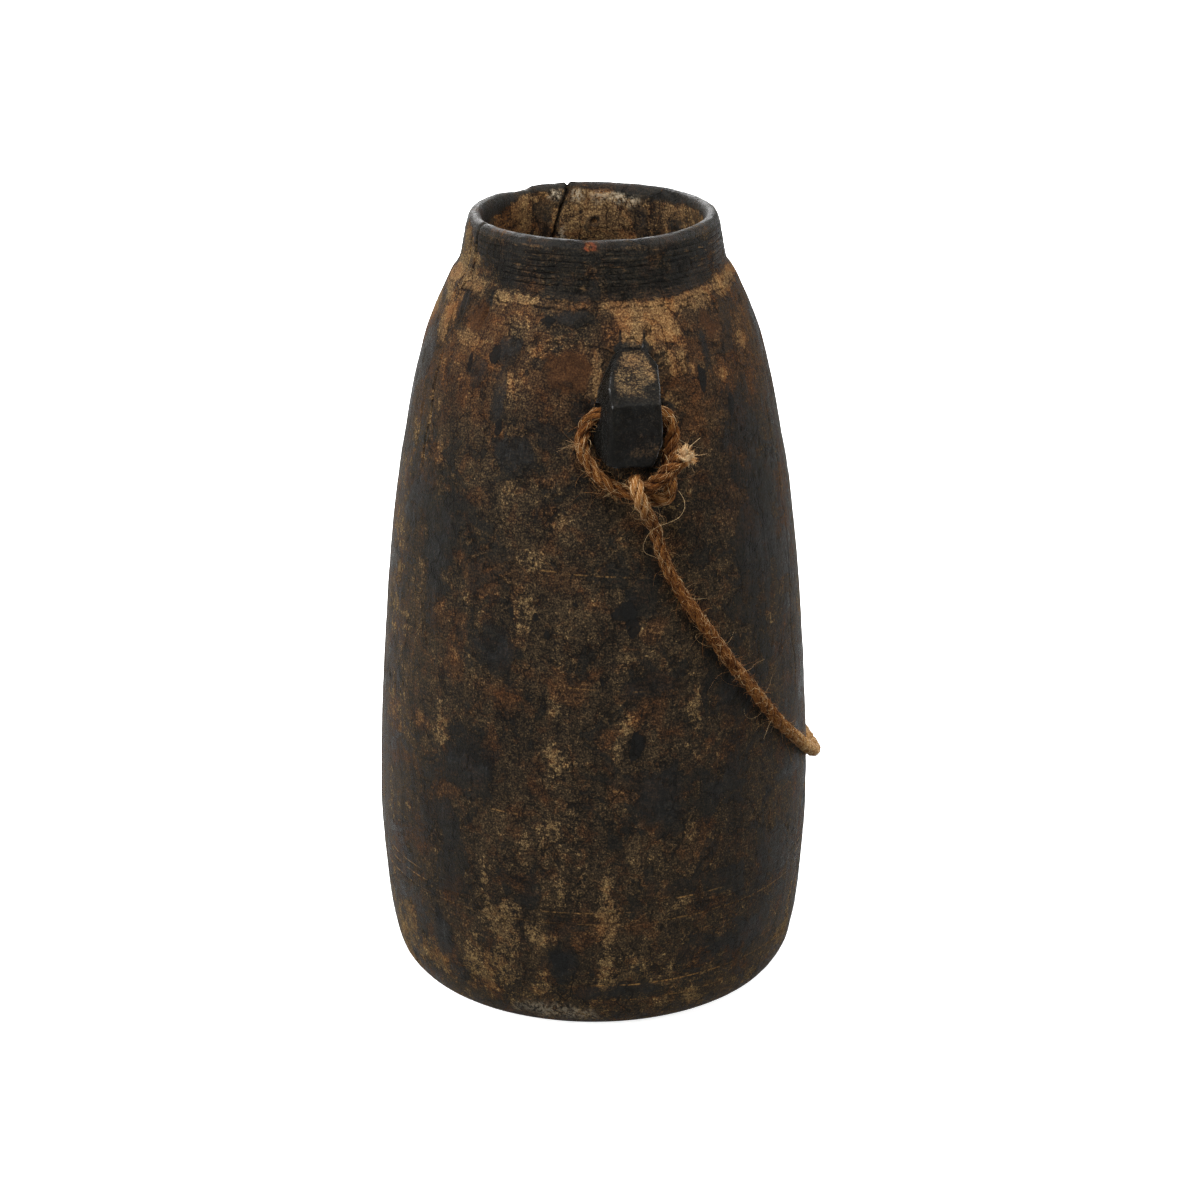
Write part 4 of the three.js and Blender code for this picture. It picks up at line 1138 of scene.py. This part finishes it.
    # worn lines left by the scribed rings and by scratches: height (m), tilt along x
    hair = None
    for h, tilt in [(0.0202, 0.0), (0.0289, 0.0), (0.0624, 0.0), (0.0682, 0.0), (0.0728, 0.0), (0.2316, -0.078), (0.1778, -0.085), (0.1155, -0.02)]:
        z = m.math("MULTIPLY_ADD", xyz.outputs[0], -tilt, m.math("SUBTRACT", xyz.outputs[2], h))
        z = m.math("MULTIPLY_ADD", dev(n_big), 0.0016, z)
        one = m.ramp(m.math("ABSOLUTE", z), 0.00052, 0.00018)
        hair = one if hair is None else m.math("MAXIMUM", hair, one)
    n_dash = m.noise(m.scaled(obj, (1.0, 1.0, 0.4)), 150.0, 4.0, 0.6)
    hair = m.math("MULTIPLY", m.math("MULTIPLY", hair, lines), m.ramp(n_dash, 0.41, 0.52))
    hair = m.math("MULTIPLY", hair, m.ramp(n_speck, 0.40, 0.55))
    col = m.mix(m.math("MULTIPLY", hair, 0.9), col, rgb(126, 94, 54))
    # specks of bare wood caught in the collar's lines
    n_catch = m.noise(m.scaled(obj, (0.22, 0.22, 1.0)), 780.0, 4.0, 0.6)
    catch = m.math("MULTIPLY", m.ramp(n_catch, 0.60, 0.68), m.math("MULTIPLY", collar, m.ramp(n_big, 0.42, 0.58)))
    col = m.mix(m.math("MULTIPLY", catch, 0.55), col, rgb(108, 82, 52))
    col = m.mix(m.math("MULTIPLY", m.math("MULTIPLY", edge, lug), 0.7), col, rgb(30, 31, 30))
    # dark grooves turned in the collar, painted near-black as painted shade in the grooves: height (m)
    groove = None
    for h in (0.3586, 0.3614, 0.3639, 0.3666, 0.3692, 0.3722):
        z = m.math("MULTIPLY_ADD", dev(n_big), 0.0030, m.math("SUBTRACT", xyz.outputs[2], h))
        one = m.ramp(m.math("ABSOLUTE", z), 0.00042, 0.00012)
        groove = one if groove is None else m.math("MAXIMUM", groove, one)
    groove = m.math("MULTIPLY", groove, m.math("MULTIPLY", collar, m.ramp(n_dash, 0.42, 0.56)))
    # painted shade: a dark crack line along the ledge under the collar
    z = m.math("MULTIPLY_ADD", dev(n_big), 0.0050, m.math("SUBTRACT", xyz.outputs[2], 0.3496))
    z = m.math("MULTIPLY_ADD", dev(n_clump), 0.0030, z)
    foot = m.math("MULTIPLY", m.ramp(m.math("ABSOLUTE", z), 0.00060, 0.00020), m.ramp(n_dash, 0.485, 0.53))
    groove = m.math("MAXIMUM", groove, m.math("MULTIPLY", foot, m.math("SUBTRACT", 1.0, inner)))
    col = m.mix(m.math("MULTIPLY", groove, 0.66), col, rgb(10, 9, 8))
    # fine cracks
    bent = m.node("ShaderNodeVectorMath", operation="MULTIPLY_ADD")
    m.link(m.node_colour(obj, 160.0), bent.inputs[0])
    bent.inputs[1].default_value = (0.012, 0.012, 0.012)
    m.link(m.scaled(obj, (1.0, 1.0, 0.7)), bent.inputs[2])
    cells = m.node("ShaderNodeTexVoronoi", feature="DISTANCE_TO_EDGE")
    cells.inputs["Scale"].default_value = 85.0
    m.link(bent.outputs[0], cells.inputs["Vector"])
    cracks = m.math("MULTIPLY", m.ramp(cells.outputs["Distance"], 0.045, 0.012), m.ramp(m.noise(obj, 70.0, 3.0, 0.5), 0.47, 0.55))
    cracks = m.math("MULTIPLY", cracks, m.math("MULTIPLY_ADD", lug, -1.0, 1.0, clamp=True))
    col = m.mix(m.math("MULTIPLY", cracks, 0.75), col, rgb(12, 11, 9))
    # dark pores
    pores = m.ramp(m.noise(m.scaled(obj, (1.0, 1.0, 0.35)), 820.0, 3.0, 0.6), 0.36, 0.27)
    col = m.mix(m.math("MULTIPLY", pores, 0.75), col, rgb(18, 16, 13))
    chips = m.ramp(m.noise(m.scaled(obj, (1.0, 1.0, 0.6)), 240.0, 6.0, 0.68, 0.5), 0.375, 0.335)
    col = m.mix(m.math("MULTIPLY", chips, 0.7), col, rgb(22, 20, 17))
    col = m.mix(m.math("MULTIPLY", m.ramp(rust, 1.2, 1.7), m.ramp(n_clump, 0.36, 0.52, 0.10, 0.95)), col, rgb(88, 42, 25))
    m.link(col, m.bsdf.inputs["Base Color"])
    rough = m.ramp(u, 0.25, 0.75, 0.52, 0.82)
    rough = m.math("MULTIPLY_ADD", coat, -0.10, rough)
    rough = m.math("MULTIPLY_ADD", lug, -0.16, rough)
    rough = m.math("MULTIPLY_ADD", edge, -0.20, rough)
    rough = m.math("MULTIPLY_ADD", dev(n_speck), 0.30, rough)
    m.link(rough, m.bsdf.inputs["Roughness"])
    gloss = m.math("MULTIPLY_ADD", edge, 0.70, m.math("MULTIPLY_ADD", lug, -0.004, 0.02))
    glint = m.math("MULTIPLY", blue, m.ramp(n_speck, 0.53, 0.62))
    m.link(m.math("MULTIPLY_ADD", glint, 0.10, gloss), m.bsdf.inputs["Specular IOR Level"])
    h = m.math("MULTIPLY_ADD", n_speck, 0.9, m.math("MULTIPLY", n_fine, 0.35))
    h = m.math("MULTIPLY_ADD", n_streak, 0.5, h)
    h = m.math("MULTIPLY_ADD", n_mid, 0.9, h)
    h = m.math("MULTIPLY_ADD", m.math("MULTIPLY", n_turn, collar), 1.0, h)
    h = m.math("MULTIPLY_ADD", n_clump, 0.7, h)
    h = m.math("MULTIPLY_ADD", coat, 0.55, h)
    h = m.math("MULTIPLY_ADD", scab, 0.70, h)
    h = m.math("MULTIPLY_ADD", cracks, -0.5, h)
    h = m.math("MULTIPLY_ADD", groove, -0.5, h)
    h = m.math("MULTIPLY_ADD", pores, -0.6, h)
    h = m.math("MULTIPLY_ADD", chips, -0.5, h)
    bump = m.node("ShaderNodeBump")
    m.link(m.math("MULTIPLY_ADD", lug, -0.6, 0.9), bump.inputs["Strength"])
    bump.inputs["Distance"].default_value = 0.0014
    m.link(h, bump.inputs["Height"])
    m.link(bump.outputs[0], m.bsdf.inputs["Normal"])
    return m.mat


def rope_material():
    m = Nodes("jute_rope")
    fib = m.node("ShaderNodeAttribute", attribute_name="fib").outputs["Vector"]
    tone = m.node("ShaderNodeAttribute", attribute_name="tone")
    sep = m.node("ShaderNodeSeparateColor")
    m.link(tone.outputs["Color"], sep.inputs[0])
    core, end, light = sep.outputs[0], sep.outputs[1], sep.outputs[2]
    obj = m.node("ShaderNodeTexCoord").outputs["Object"]
    n1 = m.noise(fib, 4.5, 3.0, 0.65, 0.3)
    n2 = m.noise(fib, 14.0, 2.0, 0.6, 0.6)
    n3 = m.noise(obj, 60.0, 2.0, 0.5)
    n4 = m.noise(obj, 1500.0, 2.0, 0.7)
    v = m.math("MULTIPLY_ADD", m.math("SUBTRACT", n1, 0.5), 1.1, 0.48)
    v = m.math("MULTIPLY_ADD", m.math("SUBTRACT", n2, 0.5), 0.7, v)
    v = m.math("MULTIPLY_ADD", m.math("SUBTRACT", n3, 0.5), 0.5, v)
    v = m.math("MULTIPLY_ADD", m.math("SUBTRACT", n4, 0.5), 0.45, v)
    # painted shade in the gaps between the plies, then painted light from the tone's light channel
    v = m.math("MULTIPLY_ADD", core, -0.60, v)
    v = m.math("MULTIPLY_ADD", light, 0.20, v)
    col = m.colours(v, [(0.0, (15, 6, 1)), (0.25, (38, 18, 6)), (0.48, (75, 44, 18)), (0.70, (119, 78, 39)), (1.0, (178, 140, 90))])
    col = m.mix(m.math("MULTIPLY", end, 0.85), col, rgb(136, 119, 92))
    m.link(col, m.bsdf.inputs["Base Color"])
    m.bsdf.inputs["Roughness"].default_value = 0.9
    m.bsdf.inputs["Specular IOR Level"].default_value = 0.04
    h = m.math("MULTIPLY_ADD", n2, 0.8, m.math("MULTIPLY", n1, 1.0))
    h = m.math("MULTIPLY_ADD", n4, 0.4, h)
    bump = m.node("ShaderNodeBump")
    bump.inputs["Strength"].default_value = 0.8
    bump.inputs["Distance"].default_value = 0.0006
    m.link(h, bump.inputs["Height"])
    m.link(bump.outputs[0], m.bsdf.inputs["Normal"])
    return m.mat


def fibre_material():
    m = Nodes("jute_fibre")
    tone = m.node("ShaderNodeAttribute", attribute_name="tone").outputs["Fac"]
    obj = m.node("ShaderNodeTexCoord").outputs["Object"]
    v = m.math("MULTIPLY_ADD", m.math("SUBTRACT", m.noise(obj, 900.0, 2.0, 0.6), 0.5), 0.35, tone)
    col = m.colours(v, [(0.0, (20, 9, 2)), (0.3, (66, 37, 15)), (0.65, (134, 92, 51)), (1.0, (197, 171, 130))])
    m.link(col, m.bsdf.inputs["Base Color"])
    m.bsdf.inputs["Roughness"].default_value = 0.75
    m.bsdf.inputs["Specular IOR Level"].default_value = 0.06
    return m.mat


pot.data.materials.clear()
pot.data.materials.append(wood_material())
rope.data.materials.append(rope_material())
jute_fibre = fibre_material()
for piece in (wool, wool_b, fibres):
    piece.data.materials.append(jute_fibre)

# ---- what rides on what -------------------------------------------------------------------
ROPE_NODES = ["rope_front_loop", "rope_front_knot", "rope_front_tail", "rope_run", "rope_back_loop", "rope_back_knot", "rope_back_tail"]
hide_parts("pot_body")
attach(pot, "pot")
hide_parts(*ROPE_NODES)
for piece in (rope, wool, wool_b, fibres):
    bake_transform(piece)

# ---- floor and light ----------------------------------------------------------------------
floor_mesh = bpy.data.meshes.new("floor")
floor_mesh.from_pydata([(-9, -9, 0), (9, -9, 0), (9, 12, 0), (-9, 12, 0)], [], [(0, 1, 2, 3)])
floor = bpy.data.objects.new("floor", floor_mesh)
scene.collection.objects.link(floor)
fm = Nodes("pale_floor")
fm.bsdf.inputs["Base Color"].default_value = (0.6, 0.6, 0.6, 1)
fm.bsdf.inputs["Roughness"].default_value = 0.9
fm.bsdf.inputs["Emission Color"].default_value = (1, 1, 1, 1)
fm.bsdf.inputs["Emission Strength"].default_value = 0.82
floor_mesh.materials.append(fm.mat)
floor.visible_diffuse = False  # keeps the undersides in shade

world = bpy.data.worlds.new("studio")
scene.world = world
world.use_nodes = True
world.node_tree.nodes["Background"].inputs[0].default_value = (1, 1, 1, 1)
world.node_tree.nodes["Background"].inputs[1].default_value = 0.2


def softbox(name, place, aim, size, watts):
    light = bpy.data.lights.new(name, "AREA")
    light.shape = "RECTANGLE"
    light.size, light.size_y = size
    light.energy = watts
    ob = bpy.data.objects.new(name, light)
    scene.collection.objects.link(ob)
    ob.location = place
    ob.rotation_mode = "QUATERNION"
    ob.rotation_quaternion = (Vector(aim) - Vector(place)).to_track_quat("-Z", "Y")
    return ob


softbox("top", (-0.25, -0.75, 2.3), (0, 0, 0.2), (1.1, 0.9), 108)
softbox("key", (-2.1, -1.6, 1.6), (0, 0, 0.2), (1.0, 1.2), 108)
softbox("fill", (1.9, -1.7, 1.2), (0, 0, 0.2), (1.2, 1.6), 46)
softbox("rim", (-2.0, 1.3, 1.6), (0, 0, 0.25), (0.9, 1.4), 60)
softbox("rim_b", (2.1, 1.2, 1.4), (0, 0, 0.25), (0.9, 1.4), 34)
softbox("back", (0.15, 2.5, 1.3), (0, 0, 0.2), (1.3, 1.2), 90)
